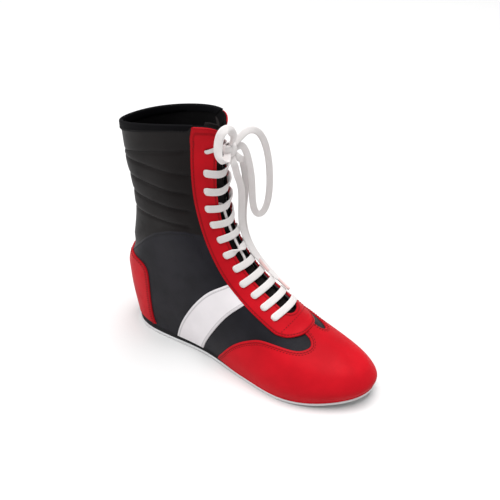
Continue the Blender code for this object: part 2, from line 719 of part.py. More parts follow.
def smooth_path(points, step):
    """A path through hand-set points, evened out to about one length of step."""
    points = np.array(points)
    matrix = open_controls(len(points))
    controls = matrix @ points
    t = np.linspace(0.0, len(points) - 1.0, 40 * len(points))
    first = np.minimum(np.floor(t).astype(int), len(points) - 2)
    weights = spline_weights(t - first)
    fine = np.einsum("nj,njk->nk", weights, controls[first[:, None] + np.arange(4)])
    length = np.concatenate([[0.0], np.cumsum(np.linalg.norm(np.diff(fine, axis=0), axis=1))])
    even = np.linspace(0.0, length[-1], max(3, int(round(length[-1] / step)) + 1))
    return np.column_stack([np.interp(even, length, fine[:, k]) for k in range(3)])


def over_throat(rows):
    """Points given by place along the throat, reach across it and lift off the form."""
    points = []
    for place, reach, lift in rows:
        u, v = throat_line(place, [abs(reach)])
        points.append(skin(u if reach <= 0.0 else (-u) % LOOP, v, lift)[0])
    return points


def knot_exit(direction):
    """First two points of a lace that leaves the knot square to its surface, a gap clear of it."""
    normal = np.array(direction) / np.linalg.norm(direction)
    radii = np.array(KNOT_RADII)
    surface = np.array(KNOT_CENTRE) + radii**2 * normal / np.linalg.norm(radii * normal)
    return [surface + 2.0 * GAP * normal, surface + 3.0 * CORD_RADIUS * normal]


def build_cord(name, points, materials, collection):
    path = (smooth_path(points, 11.0) - np.array([MIDDLE_X, MIDDLE_Y, 0.0])) * MM
    curve = bpy.data.curves.new(name, "CURVE")
    curve.dimensions = "3D"
    curve.bevel_depth = CORD_RADIUS * MM
    curve.bevel_resolution = 2
    curve.use_fill_caps = True
    spline = curve.splines.new("POLY")
    spline.points.add(len(path) - 1)
    for point, where in zip(spline.points, path):
        point.co = (where[0], where[1], where[2], 1.0)
    obj = bpy.data.objects.new(name, curve)
    obj.data.materials.append(materials["lace_white"])
    collection.objects.link(obj)
    return obj


def build_knot(materials, collection):
    mesh = bpy.data.meshes.new("lace_knot")
    work = bmesh.new()
    bmesh.ops.create_uvsphere(work, u_segments=12, v_segments=8, radius=1.0)
    for vert in work.verts:
        vert.co.x = (vert.co.x * KNOT_RADII[0] + KNOT_CENTRE[0] - MIDDLE_X) * MM
        vert.co.y = (vert.co.y * KNOT_RADII[1] + KNOT_CENTRE[1] - MIDDLE_Y) * MM
        vert.co.z = (vert.co.z * KNOT_RADII[2] + KNOT_CENTRE[2]) * MM
    work.to_mesh(mesh)
    work.free()
    obj = bpy.data.objects.new("lace_knot", mesh)
    obj.data.materials.append(materials["lace_white"])
    collection.objects.link(obj)
    return obj


def main():
    clear_scene()
    parts = bpy.data.collections.new(NAME)
    helpers = bpy.data.collections.new("cutters")
    bpy.context.scene.collection.children.link(parts)
    bpy.context.scene.collection.children.link(helpers)
    materials = {name: make_material(name) for name in COLOURS}
    edge = throat_edge()
    build_sole(materials, parts)
    build_upper(edge, materials, parts)
    build_tongue(materials, parts)
    build_toe_cap(materials, parts)
    build_eyestay(edge, materials, parts)
    build_heel_counter(materials, parts)
    build_binding(materials, parts)
    build_side_band("side_band_outer", False, materials, parts)
    build_side_band("side_band_inner", True, materials, parts)
    bars, joiner = build_lace_bars(materials, parts)
    parts.objects.unlink(joiner)
    helpers.objects.link(joiner)
    joiner.hide_render = True
    joiner.display_type = "WIRE"
    build_knot(materials, parts)
    for name, exits, points in (
        ("lace_bow_loop", BOW_EXITS, BOW_LOOP),
        ("lace_small_loop", SMALL_EXITS, SMALL_LOOP),
    ):
        path = knot_exit(exits[0]) + list(points) + knot_exit(exits[1])[::-1]
        build_cord(name, path, materials, parts)
    build_cord("lace_end_long", knot_exit(LONG_EXIT) + over_throat(END_LONG), materials, parts)
    build_cord("lace_end_short", knot_exit(SHORT_EXIT) + over_throat(END_SHORT), materials, parts)


main()
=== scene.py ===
"""Looks of a high lace-up boxing boot for the right foot: sewn leather, flat woven lace, thin rubber sole.

The boot is one form of two parameters. u counts sections from the toe tip round the outer side to the heel
(15) and back along the inner side to the toe (30). v counts rails from the sole edge (0) to the top line (4),
which is the ridge of the foot up to section 11 and the collar behind it. Each sewn panel is a piece of that
form with a height of its own. Lengths are millimetres counted from the heel until a mesh is made, and metres
in the frame after that.
"""

from __future__ import annotations

import json
import logging
import math
from collections.abc import Callable
from dataclasses import dataclass, field
from enum import Enum

import bpy
import numpy as np
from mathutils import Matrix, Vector

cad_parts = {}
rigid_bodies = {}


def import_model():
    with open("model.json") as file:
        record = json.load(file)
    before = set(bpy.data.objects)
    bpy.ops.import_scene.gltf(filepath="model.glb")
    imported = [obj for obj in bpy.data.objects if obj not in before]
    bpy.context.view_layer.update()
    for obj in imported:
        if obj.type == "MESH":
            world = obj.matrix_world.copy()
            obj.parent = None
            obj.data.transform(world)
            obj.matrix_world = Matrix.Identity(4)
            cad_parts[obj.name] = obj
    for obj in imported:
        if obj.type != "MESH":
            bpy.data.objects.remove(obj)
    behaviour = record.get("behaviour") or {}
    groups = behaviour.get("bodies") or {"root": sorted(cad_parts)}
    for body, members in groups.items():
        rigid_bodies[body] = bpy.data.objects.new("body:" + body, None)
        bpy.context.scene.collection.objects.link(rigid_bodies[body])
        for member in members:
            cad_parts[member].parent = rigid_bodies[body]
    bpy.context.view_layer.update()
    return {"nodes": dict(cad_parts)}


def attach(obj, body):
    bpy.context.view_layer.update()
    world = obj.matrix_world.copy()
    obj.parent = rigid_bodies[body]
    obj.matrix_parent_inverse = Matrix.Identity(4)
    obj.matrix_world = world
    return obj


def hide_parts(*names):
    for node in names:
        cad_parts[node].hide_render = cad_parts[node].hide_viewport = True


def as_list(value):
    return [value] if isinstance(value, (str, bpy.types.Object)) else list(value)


Array = np.ndarray
Piece = bpy.types.Object
Material = bpy.types.Material
Socket = bpy.types.NodeSocket
Sockets = bpy.types.bpy_prop_collection
Table = tuple[tuple[float, ...], ...]
Swept = tuple[Array, Array, Array]
LOG = logging.getLogger("boxing_boot")
MM = 0.001
BODY = "root"
MIDDLE = np.array([140.4, -2.9, 0.0])
SHARP_ANGLE = math.radians(50.0)
SNAP = 0.04


class Slot(Enum):
    """The record's material slots."""

    SOLE = "sole_rubber"
    MIDSOLE = "midsole_black"
    UPPER = "upper_black"
    TONGUE = "tongue_black"
    RED = "red_leather"
    WHITE = "white_leather"
    BINDING = "binding_black"
    LACE = "lace_white"


class FarEnd(Enum):
    """What the far end of a loose run of lace is."""

    KNOT = "object"
    AGLET = "fitting"


# Form of the foot


def ramp(start: float, end: float, x: Array) -> Array:
    """Smooth step from 0 at start to 1 at end: 3 t squared less 2 t cubed.

    Args:
        start: Value of x where the step begins.
        end: Value of x where it is complete.
        x: Where to read it.

    Returns:
        The step's height, from 0 to 1.
    """
    t = np.clip((np.asarray(x, float) - start) / (end - start), 0.0, 1.0)
    return t * t * (3.0 - 2.0 * t)


def bell(x: Array, width: float) -> Array:
    """Bell curve of height 1: e to the power of minus (x over width) squared."""
    return np.exp(-((np.asarray(x, float) / width) ** 2))


def unit(vectors: Array) -> Array:
    """The vectors, each divided by its own length."""
    return vectors / np.maximum(np.linalg.norm(vectors, axis=-1, keepdims=True), 1e-12)


def spline_weights(t: Array) -> Array:
    """Weights of a uniform cubic spline's four control points at t, from 0 to 1 between the middle two."""
    return np.stack([(1 - t) ** 3, 3 * t**3 - 6 * t**2 + 4, -3 * t**3 + 3 * t**2 + 3 * t + 1, t**3], -1) / 6.0


def open_controls(count: int) -> Array:
    """Matrix from the points of an open spline with free ends to its control points.

    Args:
        count: Number of points that the spline passes through.

    Returns:
        A matrix of count + 2 rows and count columns.
    """
    matrix = np.zeros((count + 2, count + 2))
    rows = np.arange(count)
    for shift, weight in enumerate((1.0, 4.0, 1.0)):
        matrix[rows + 1, rows + shift] = weight / 6.0
    matrix[0, :3] = (1, -2, 1)
    matrix[-1, -3:] = (1, -2, 1)
    return np.linalg.inv(matrix)[:, 1:-1]


def smooth_line(points: Array, count: int) -> Array:
    """A smooth line through a few points: a cubic spline with free ends, read at even lengths.

    Args:
        points: The points, one in each row, in any number of dimensions.
        count: Number of points wanted.

    Returns:
        The points of the line.
    """
    points = np.asarray(points, float)
    controls = open_controls(len(points)) @ points
    t = np.linspace(0.0, len(points) - 1.0, 30 * len(points))
    first = np.minimum(np.floor(t).astype(int), len(points) - 2)
    fine = np.einsum("nj,njk->nk", spline_weights(t - first), controls[first[:, None] + np.arange(4)])
    length = line_length(fine)
    even = np.linspace(0.0, length[-1], count)
    return np.stack([np.interp(even, length, column) for column in fine.T], -1)


def line_length(points: Array) -> Array:
    """Length run along a line of points, 0 at its first point."""
    return np.concatenate([[0.0], np.cumsum(np.linalg.norm(np.diff(points, axis=0), axis=1))])


def row_lengths(points: Array) -> Array:
    """Length run along each row of a grid of points, 0 at the row's first point."""
    run = np.cumsum(np.linalg.norm(np.diff(points, axis=1), axis=2), axis=1)
    return np.hstack([np.zeros((len(points), 1)), run])


@dataclass
class Last:
    """The foot form that every sewn piece follows.

    Each row is a section and gives x and half width at five rails, then the top line's height, how far the
    section turns over the ridge, and the share of the half widths on the inner side. It is drawn for a 288 mm
    sole, a 100 mm ball and a 250 mm shaft.
    """

    sole_length: float = 288.0
    ball_width: float = 100.0
    shaft_height: float = 250.0
    toe_spring: float = 9.0
    toe_swing: float = 3.2
    arch_waist: float = 5.2
    waist_place: float = 158.0
    waist_length: float = 42.0
    outsole: float = 3.5
    midsole_heel: float = 4.2
    midsole_ball: float = 1.8
    gap: float = 0.3
    wall: float = 2.0
    throat_start: float = 4.5
    throat_half: float = 9.0
    ridge_end: float = 11.0
    rails: tuple[float, ...] = (0.0, 0.25, 0.58, 0.82, 1.0)
    rows: Table = (
        (285.0, 0.0, 286.5, 0.0, 280.4, 0.0, 271.2, 0.0, 257.0, 0.0, 39.5, 1.0, 1.0),
        (278.4, 18.0, 280.4, 19.4, 273.6, 17.6, 264.2, 12.6, 251.5, 0.0, 42.0, 1.0, 0.88),
        (260.0, 34.0, 261.0, 36.2, 255.3, 31.6, 249.0, 21.4, 243.0, 0.0, 45.5, 1.0, 0.89),
        (234.0, 46.0, 234.0, 48.2, 231.5, 41.4, 230.5, 28.2, 230.0, 0.0, 51.5, 1.0, 0.87),
        (205.0, 48.3, 205.5, 50.0, 206.0, 43.2, 209.0, 29.8, 213.0, 0.0, 61.0, 1.0, 0.92),
        (174.0, 41.0, 176.0, 44.0, 181.0, 39.5, 186.5, 27.5, 193.0, 0.0, 75.5, 1.0, 0.98),
        (144.0, 35.0, 148.5, 38.5, 157.0, 35.5, 164.0, 25.0, 171.0, 0.0, 90.0, 1.0, 1.0),
        (117.0, 32.0, 123.0, 35.5, 133.5, 34.0, 141.5, 24.0, 149.0, 0.0, 108.0, 1.0, 1.0),
        (93.0, 31.5, 99.5, 35.0, 112.0, 33.5, 121.5, 24.0, 130.5, 0.0, 133.0, 1.0, 1.0),
        (72.0, 32.0, 78.0, 34.5, 92.0, 33.0, 107.5, 24.0, 120.0, 0.0, 165.0, 1.0, 1.0),
        (54.0, 32.0, 59.0, 33.5, 74.0, 32.0, 97.0, 26.0, 117.0, 0.0, 202.0, 1.0, 1.0),
        (39.0, 31.0, 42.0, 32.5, 57.0, 31.0, 84.0, 28.5, 118.0, 0.0, 239.0, 0.5, 1.0),
        (26.0, 28.0, 27.0, 29.5, 42.0, 29.0, 68.0, 30.0, 106.0, 21.0, 253.5, 0.0, 1.0),
        (15.0, 22.0, 13.0, 24.0, 28.0, 24.5, 43.0, 28.5, 66.0, 31.5, 249.5, 0.0, 1.0),
        (7.5, 13.0, 1.5, 15.0, 17.0, 16.0, 17.5, 21.0, 20.0, 24.0, 239.5, 0.0, 1.0),
        (4.5, 0.0, -5.5, 0.0, 11.5, 0.0, 5.5, 0.0, 0.0, 0.0, 234.0, 0.0, 1.0),
    )
    top: int = field(init=False)
    half: int = field(init=False)
    loop: int = field(init=False)

    def __post_init__(self) -> None:
        """Works out the control points of the closed spline through the sections."""
        self.top = len(self.rails) - 1
        self.half = len(self.rows) - 1
        self.loop = 2 * self.half
        outer = [self._rail_points(row, -1.0) for row in self.rows]
        inner = [self._rail_points(row, 1.0) for row in self.rows[-2:0:-1]]
        turned = np.array([row[11] for row in self.rows + self.rows[-2:0:-1]])
        self._rail_controls = self._loop_controls(np.array(outer + inner))
        self._over_controls = self._loop_controls(turned)
        self._section_matrix = open_controls(self.top + 3)

    def toe_lift(self, x: Array) -> Array:
        """Height of the sole's spring: it rises with the square of the length past the ball."""
        return self.toe_spring * np.clip((x / self.sole_length - 0.68) / 0.32, 0.0, 1.0) ** 2

    def midsole_thickness(self, x: Array) -> Array:
        """Thickness of the wedge, which thins from the heel to the ball."""
        return self.midsole_heel + (self.midsole_ball - self.midsole_heel) * ramp(20.0, 190.0, x)

    def _rail_points(self, row: tuple[float, ...], side: float) -> Array:
        """The five rail points of one section.

        Args:
            row: The section's sizes.
            side: -1 on the outer side and 1 on the inner one.

        Returns:
            A point in each row.
        """
        data = np.array(row)
        x = data[0:10:2] * self.sole_length / 288.0
        width = data[1:10:2] * self.ball_width / 100.0 * (data[12] if side > 0.0 else 1.0)
        base = self.toe_lift(x[0]) + self.outsole + 2.0 * self.gap + self.midsole_thickness(x[0])
        z = base + np.array(self.rails) * (data[10] * self.shaft_height / 250.0 - base)
        return np.column_stack([x, side * width, z])

    @staticmethod
    def _loop_controls(values: Array) -> Array:
        """Control points of the closed spline that passes through the values.

        Args:
            values: A value or points for each section of the loop.

        Returns:
            As many control values.
        """
        count = len(values)
        one = np.eye(count)
        matrix = (4.0 * one + np.roll(one, 1, 0) + np.roll(one, -1, 0)) / 6.0
        return np.linalg.solve(matrix, values.reshape(count, -1)).reshape(values.shape)

    def form(self, u: Array, v: Array) -> Array:
        """Points of the form: a closed cubic spline along u, then a cubic spline up each section.

        Args:
            u: Section numbers.
            v: Rail numbers, and below 0 millimetres straight down from the sole edge.

        Returns:
            The points, with one more axis than u and v.
        """
        u, v = np.broadcast_arrays(np.asarray(u, float), np.asarray(v, float))
        shape = u.shape
        below = np.minimum(v.ravel(), 0.0)
        u, v = u.ravel() % self.loop, np.clip(v.ravel(), 0.0, self.top)
        first = np.floor(u).astype(int) % self.loop
        weights = spline_weights(u - np.floor(u))
        index = (first[:, None] + np.array([-1, 0, 1, 2])) % self.loop
        rails = np.einsum("ij,ijkl->ikl", weights, self._rail_controls[index])
        over = np.clip(np.einsum("ij,ij->i", weights, self._over_controls[index]), 0.0, 1.0)[:, None]
        under = 2.0 * rails[:, 0] - rails[:, 1]
        across = rails[:, 3] * np.array([1.0, -1.0, 1.0])
        beyond = 2.0 * rails[:, 4] - rails[:, 3]
        points = np.concatenate([under[:, None], rails, (over * across + (1 - over) * beyond)[:, None]], 1)
        controls = np.einsum("ij,njk->nik", self._section_matrix, points)
        place = v + 1.0
        first = np.minimum(np.floor(place).astype(int), self.top + 1)
        weights = spline_weights(place - first)
        index = first[:, None] + np.arange(4)
        found = np.einsum("nj,njk->nk", weights, controls[np.arange(len(u))[:, None], index])
        toe = self.toe_swing * np.clip((found[:, 0] / self.sole_length - 0.653) / 0.347, 0.0, 1.0) ** 1.5
        low = np.clip(1.0 - (found[:, 2] - 8.0) / 60.0, 0.0, 1.0)
        found[:, 1] += toe - self.arch_waist * bell(found[:, 0] - self.waist_place, self.waist_length) * low
        found[:, 2] += below
        return found.reshape(shape + (3,))

    def normals(self, u: Array, v: Array) -> Array:
        """Outward unit normals of the form, from differences along u and v. On the ridge the sides share one.

        Args:
            u: Section numbers.
            v: Rail numbers.

        Returns:
            The normals, with one more axis than u and v.
        """
        u, v = np.broadcast_arrays(np.asarray(u, float), np.asarray(v, float))
        inside = np.clip(v, 0.02, self.top - 0.03)

        def one_side(a: Array) -> Array:
            """Cross product of the steps up the wall and along it."""
            up = self.form(a, inside + 0.015) - self.form(a, inside - 0.015)
            return unit(np.cross(up, self.form(a + 0.01, inside) - self.form(a - 0.01, inside)))

        here = one_side(u)
        ridge = (v > self.top - 0.02) & (np.minimum(u % self.loop, -u % self.loop) <= self.ridge_end)
        return np.where(ridge[..., None], unit(here + one_side(-u)), here)

    def skin(self, u: Array, v: Array, lift: Array) -> Array:
        """The form with its relief, moved out along the normals by a lift. The sole edge moves level.

        Args:
            u: Section numbers.
            v: Rail numbers.
            lift: Millimetres outwards.

        Returns:
            The points.
        """
        u, v, lift = np.broadcast_arrays(np.asarray(u, float), np.asarray(v, float), np.asarray(lift, float))
        base = self.form(u, v)
        step = self.normals(u, v) * (lift + RELIEF.height(base))[..., None]
        step[..., 2] = np.where(v <= 0.0, 0.0, step[..., 2])
        return base + step

    def v_at_rise(self, u: Array, rise: Array) -> Array:
        """Rail numbers of points that lie a length up the wall from the sole edge.

        Args:
            u: Section numbers in a row.
            rise: Length up the wall at each of them.

        Returns:
            The rail numbers.
        """
        steps = np.linspace(0.0, self.top, 161)
        walls = self.form(np.asarray(u, float)[:, None], steps[None, :])
        return np.array([np.interp(r, row, steps) for r, row in zip(rise, row_lengths(walls))])

    def inset(self, u: Array, v: Array, distance: float) -> tuple[Array, Array]:
        """A line on the form moved sideways on the surface.

        The step square to the line is solved for its parts along u and v from the two slopes of the form.

        Args:
            u: Section numbers along the line.
            v: Rail numbers along the line.
            distance: Millimetres to the left of the line's run, seen from outside.

        Returns:
            Section and rail numbers of the moved line.
        """
        points = self.form(u, v)
        side = unit(np.cross(self.normals(u, v), np.gradient(points, axis=0)))
        slope_u = (self.form(u + 0.01, v) - self.form(u - 0.01, v)) / 0.02
        low, high = np.clip(v - 0.01, 0.0, self.top), np.clip(v + 0.01, 0.0, self.top)
        slope_v = (self.form(u, high) - self.form(u, low)) / (high - low)[:, None]
        a = np.einsum("ij,ij->i", slope_u, slope_u)
        b = np.einsum("ij,ij->i", slope_u, slope_v)
        c = np.einsum("ij,ij->i", slope_v, slope_v)
        p = np.einsum("ij,ij->i", slope_u, side) * distance
        q = np.einsum("ij,ij->i", slope_v, side) * distance
        scale = np.maximum(a * c - b * b, 1e-6)
        return u + (c * p - b * q) / scale, np.clip(v + (a * q - b * p) / scale, 0.0, self.top)


@dataclass(frozen=True)
class Relief:
    """Folds and padding of the leather, as heights over the form in the boot's own sizes.

    The shaft is quilted along level seams. Below it the quarter ends in an arched edge from heel to facing.
    """

    quilt_heights: tuple[float, ...] = (150.5, 168.0, 185.5, 204.5)
    collar_seam: Table = ((0.0, 205.0), (27.0, 214.0), (54.0, 221.0), (96.0, 229.5))
    arch: Table = (
        (-10.0, 84.0), (5.0, 90.0), (16.0, 99.0), (37.0, 120.0), (52.0, 131.5), (73.0, 141.0),
        (90.0, 144.5), (106.0, 142.5), (135.0, 132.0),
    )
    puff: float = 0.75
    groove: float = 0.85
    groove_width: float = 1.7
    edge_step: float = 0.7
    fold: float = 1.5
    crease: float = 0.8
    facing: Table = ((84.0, 140.0), (110.0, 118.0), (145.0, 97.0), (250.0, 92.0))

    def arch_height(self, x: Array) -> Array:
        """Height of the quarter's arched edge at a length from the heel."""
        return np.interp(x, *np.array(self.arch).T)

    def seam_heights(self, x: Array) -> Array:
        """Heights of the quilting seams at a length from the heel, lowest first, as rows."""
        level = [np.full(np.shape(x), h) for h in self.quilt_heights]
        return np.stack(level + [np.interp(x, *np.array(self.collar_seam).T)])

    def ahead(self, points: Array) -> Array:
        """How far points lie in front of the line where the facing begins to cover the leather."""
        return points[..., 0] - np.interp(points[..., 2], *np.array(self.facing).T)

    def height(self, points: Array) -> Array:
        """Height of the relief at points of the form.

        Padding is a round arch between two seams, and each seam is a bell-shaped groove. The quarter stands a
        step over the shaft at its arched edge, with a hollow above it, a soft crease at its back end and a
        swell below it. Slow waves soften the rest. All of it fades where the facing lies on the leather.

        Args:
            points: Points of the form.

        Returns:
            Millimetres outwards at each point.
        """
        x, z = points[..., 0], points[..., 2]
        above = z - self.arch_height(x)
        seams = self.seam_heights(x)
        shaft = ramp(-1.0, 5.0, above)
        puffed = np.zeros(np.shape(x))
        for low, high in zip(seams[:-1], seams[1:]):
            t = np.clip((z - low) / (high - low), 0.0, 1.0)
            puffed = puffed + np.sqrt(np.clip(4.0 * t * (1.0 - t), 0.0, 1.0)) * self.puff
        grooves = sum(bell(z - seam, self.groove_width) for seam in seams) * self.groove
        back = 1.0 - 0.55 * ramp(25.0, 85.0, x)
        step = self.edge_step * (1.0 - ramp(-0.6, 0.9, above)) * ramp(-46.0, -8.0, above)
        hollow = self.fold * back * bell(above - 6.0, 6.5)
        crease = self.crease * bell(above - 9.0, 3.6) * (1.0 - ramp(8.0, 46.0, x))
        swell = 1.1 * back * bell(above + 13.0, 9.0)
        waves = 0.45 * np.sin(x / 13.0 + z / 29.0) * np.sin(z / 21.0 - x / 47.0) * ramp(70.0, 110.0, z)
        folds = (puffed - grooves) * shaft + step + swell - hollow - crease + waves * (1.0 - 0.5 * shaft)
        return folds * (1.0 - ramp(-4.0, 2.0, self.ahead(points)))


RELIEF = Relief()


@dataclass
class ThroatChart:
    """Places round the throat: millimetres along the ridge from the throat's lower end, and reach across it.

    A row of the chart lies in the plane square to the ridge. The last rows bend to the collar's top line.
    """

    last: Last
    lowest: float = -30.0
    collar_band: float = 9.0
    widest: float = 44.0
    facing_width: float = 32.0
    facing_end: float = 12.18
    length: float = field(init=False)

    def __post_init__(self) -> None:
        """Follows the ridge and charts section and rail numbers at each place and reach."""
        last = self.last
        ridge_u = np.linspace(2.2, last.ridge_end, 600)
        run = line_length(last.form(ridge_u, np.full(600, float(last.top))))
        run = run - np.interp(last.throat_start, ridge_u, run)
        self.length = float(run[-1])
        self._reach = np.linspace(0.0, self.widest, 45)
        bend = self.length - self.collar_band
        low = np.append(np.arange(self.lowest, bend - 0.5, 2.0), bend)
        rows = [self._row(float(np.interp(p, run, ridge_u))) for p in low]
        lip = self._row(float(np.interp(self.length - 2.0, run, ridge_u)))
        lip_u = float(np.interp(last.throat_half, self._reach, lip[0])) + 0.2
        known = [0.0, last.throat_half, self.facing_width, self.widest]
        ends = [last.ridge_end, lip_u, self.facing_end, self.facing_end + 0.45]
        rim_u = np.interp(self._reach, known, ends)
        rim = np.stack([rim_u, np.full(len(rim_u), float(last.top))])
        steps = np.linspace(0.0, 1.0, 8)[1:]
        rows = rows + [rows[-1] + (rim - rows[-1]) * t for t in steps]
        self._place = np.concatenate([low, low[-1] + steps * (self.length - low[-1])])
        self._table = np.array(rows)

    def _row(self, at: float) -> Array:
        """One row of the chart: the points in the plane square to the ridge at one section of it.

        Along each rail it is the point where the form passes through the plane, nearest to the one before.

        Args:
            at: Section number on the ridge.

        Returns:
            Section numbers and rail numbers at each reach, as two rows.
        """
        last = self.last
        here = last.form(at, last.top)
        along = last.form(at + 0.005, last.top) - last.form(at - 0.005, last.top)
        along = unit(along * np.array([1.0, 0.0, 1.0]))
        v = np.linspace(last.top, 1.0, 49)
        u = np.linspace(at - 1.8, at + 4.6, 161)
        ahead = (last.form(u[:, None], v[None, :]) - here) @ along
        found = np.empty(len(v))
        nearest = at
        for j in range(len(v)):
            crossing = np.nonzero((ahead[:-1, j] <= 0.0) & (ahead[1:, j] > 0.0))[0]
            if len(crossing):
                k = crossing[np.argmin(np.abs(u[crossing] - nearest))]
                nearest = u[k] - ahead[k, j] / (ahead[k + 1, j] - ahead[k, j]) * (u[k + 1] - u[k])
            found[j] = nearest
        distance = line_length(last.form(found, v))
        return np.stack([np.interp(self._reach, distance, found), np.interp(self._reach, distance, v)])

    def uv(self, place: Array, reach: Array) -> tuple[Array, Array]:
        """Section and rail numbers by straight interpolation in the chart.

        Args:
            place: Millimetres along the ridge.
            reach: Millimetres across it, negative on the outer side.

        Returns:
            Section numbers and rail numbers.
        """
        place, reach = np.broadcast_arrays(np.asarray(place, float), np.asarray(reach, float))
        row = np.interp(place, self._place, np.arange(len(self._place)))
        column = np.clip(np.abs(reach) / self.widest, 0.0, 1.0) * (len(self._reach) - 1)
        i = np.minimum(row.astype(int), len(self._place) - 2)
        j = np.minimum(column.astype(int), len(self._reach) - 2)
        a, b = row - i, column - j
        both = []
        for k in range(2):
            sheet = self._table[:, k]
            low = sheet[i, j] * (1 - b) + sheet[i, j + 1] * b
            high = sheet[i + 1, j] * (1 - b) + sheet[i + 1, j + 1] * b
            both.append(low * (1 - a) + high * a)
        u, v = both
        return np.where(reach > 0.0, -u, u), v

    def over(self, place: Array, reach: Array, lift: Array) -> Array:
        """Points a lift over the form at places of the chart."""
        u, v = self.uv(place, reach)
        return self.last.skin(u, v, lift)

    def throat_edge(self) -> Array:
        """The throat's edge on the outer side: a quarter circle, then a straight side.

        Returns:
            Section and rail numbers, in two columns.
        """
        half = self.last.throat_half
        bend = half * (1.0 - np.cos(np.linspace(0.0, 0.5 * np.pi, 25)))
        place = np.concatenate([bend, np.arange(12.0, self.length - 0.5, 3.0), [self.length]])
        t = np.clip(place / half, 0.0, 1.0)
        u, v = self.uv(place, -half * np.sqrt(1.0 - (1.0 - t) ** 2))
        return np.column_stack([u, v])


# Meshes from arrays


def quad_triangles(ids: Array) -> Array:
    """Two triangles for each square of a grid of point numbers."""
    a, b, c, d = ids[:-1, :-1], ids[1:, :-1], ids[1:, 1:], ids[:-1, 1:]
    return np.concatenate([np.stack([a, b, c], -1).reshape(-1, 3), np.stack([a, c, d], -1).reshape(-1, 3)])


def grid_triangles(rows: int, columns: int) -> Array:
    """Triangles of a grid of points numbered row by row."""
    return quad_triangles(np.arange(rows * columns).reshape(rows, columns))


def ring_numbers(rings: int, sides: int) -> Array:
    """Point numbers of closed rings, a ring in each row with its first number again at its end."""
    ids = np.arange(rings * sides).reshape(rings, sides)
    return np.hstack([ids, ids[:, :1]])


def tube_triangles(rings: int, sides: int) -> Array:
    """Triangles of a tube of closed rings, with two more points after them that cap its ends.

    Args:
        rings: Number of rings.
        sides: Number of points in a ring.

    Returns:
        Three point numbers in each row.
    """
    ids = ring_numbers(rings, sides)
    first = np.stack([np.full(sides, rings * sides), ids[0, :-1], ids[0, 1:]], -1)
    final = np.stack([np.full(sides, rings * sides + 1), ids[-1, 1:], ids[-1, :-1]], -1)
    return np.concatenate([quad_triangles(ids), first, final])


@dataclass
class Sheet:
    """A sheet on the form, by the section and rail numbers of its points.

    Depth counts in from its edge, shade is the depth that the finish sees, and raised is more lift.
    """

    u: Array
    v: Array
    depth: Array
    triangles: Array
    shade: Array
    raised: Array

    @staticmethod
    def grid(
        u: Array, v: Array, depth: Array, shade: Array | None = None, raised: Array | None = None
    ) -> "Sheet":
        """A sheet over a whole grid.

        Args:
            u: Section numbers.
            v: Rail numbers.
            depth: Depth in from the edge, below 0 outside it.
            shade: Depth that the finish sees, where it is another one.
            raised: More lift, where the sheet lies on another one.

        Returns:
            The sheet.
        """
        shade = depth if shade is None else shade
        raised = np.zeros(u.shape) if raised is None else raised
        flat = [values.ravel() for values in (u, v, depth)]
        return Sheet(*flat, grid_triangles(*u.shape), shade.ravel(), raised.ravel())

    def cut(self) -> "Sheet":
        """The part with depth over 0. A triangle across the edge is cut where depth is 0 along its sides.

        Returns:
            The cut sheet.
        """
        depth = np.where(np.abs(self.depth) < SNAP, 0.0, self.depth)
        tri = self.triangles
        inside = depth[tri] >= 0.0
        count = inside.sum(1)
        parts = [tri[count == 3]]
        made: list[Array] = []
        total = len(depth)
        for keep, lone in ((1, True), (2, False)):
            chosen = tri[count == keep]
            odd = np.argmax(inside[count == keep] == lone, axis=1)
            turn = (odd[:, None] + np.arange(3)) % 3
            a, b, c = np.take_along_axis(chosen, turn, 1).T
            ab = total + np.arange(len(a))
            ac = ab + len(a)
            total += 2 * len(a)
            made += [np.stack([a, b], -1), np.stack([a, c], -1)]
            if lone:
                parts.append(np.stack([a, ab, ac], -1))
            else:
                parts += [np.stack([ab, b, c], -1), np.stack([ab, c, ac], -1)]
        ends = np.concatenate(made)
        first, last = depth[ends[:, 0]], depth[ends[:, 1]]
        t = first / np.where(first == last, 1.0, first - last)
        columns = np.stack([self.u, self.v, self.shade, self.raised])
        added = columns[:, ends[:, 0]] * (1 - t) + columns[:, ends[:, 1]] * t
        u, v, shade, raised = np.concatenate([columns, added], axis=1)
        edge = np.concatenate([depth, np.zeros(len(ends))])
        return Sheet(u, v, edge, np.concatenate(parts), shade, raised)

    def welded(self, last: Last) -> "Sheet":
        """The sheet with points in the same place made one, and empty triangles dropped.

        On the ridge the outer and inner points of a section count as one place.

        Args:
            last: The foot form.

        Returns:
            The welded sheet.
        """
        used = np.unique(self.triangles)
        u, v = self.u[used], self.v[used]
        folded = np.minimum(u % last.loop, -u % last.loop)
        u = np.where((v > last.top - 1e-6) & (folded <= last.ridge_end), folded, u)
        points = np.round(last.form(u, v) * 500.0).astype(np.int64)
        _, first, index = np.unique(points, axis=0, return_index=True, return_inverse=True)
        number = np.zeros(len(self.u), int)
        number[used] = index.reshape(-1)
        tri = number[self.triangles]
        solid = (tri[:, 0] != tri[:, 1]) & (tri[:, 1] != tri[:, 2]) & (tri[:, 0] != tri[:, 2])
        keep = used[first]
        u, v, depth = (values[keep] for values in (self.u, self.v, self.depth))
        return Sheet(u, v, depth, tri[solid], self.shade[keep], self.raised[keep])

    def beside(self, other: "Sheet") -> "Sheet":
        """The sheet and one on the other side of the foot, whose triangles are turned round.

        Args:
            other: The other sheet.

        Returns:
            One sheet of both.
        """
        tri = np.concatenate([self.triangles, other.triangles[:, ::-1] + len(self.u)])
        names = ("u", "v", "depth", "shade", "raised")
        u, v, depth, shade, raised = (np.concatenate([getattr(self, n), getattr(other, n)]) for n in names)
        return Sheet(u, v, depth, tri, shade, raised)

    def mirrored(self) -> "Sheet":
        """The sheet and its mirror image on the other side of the foot."""
        return self.beside(Sheet(-self.u, self.v, self.depth, self.triangles, self.shade, self.raised))


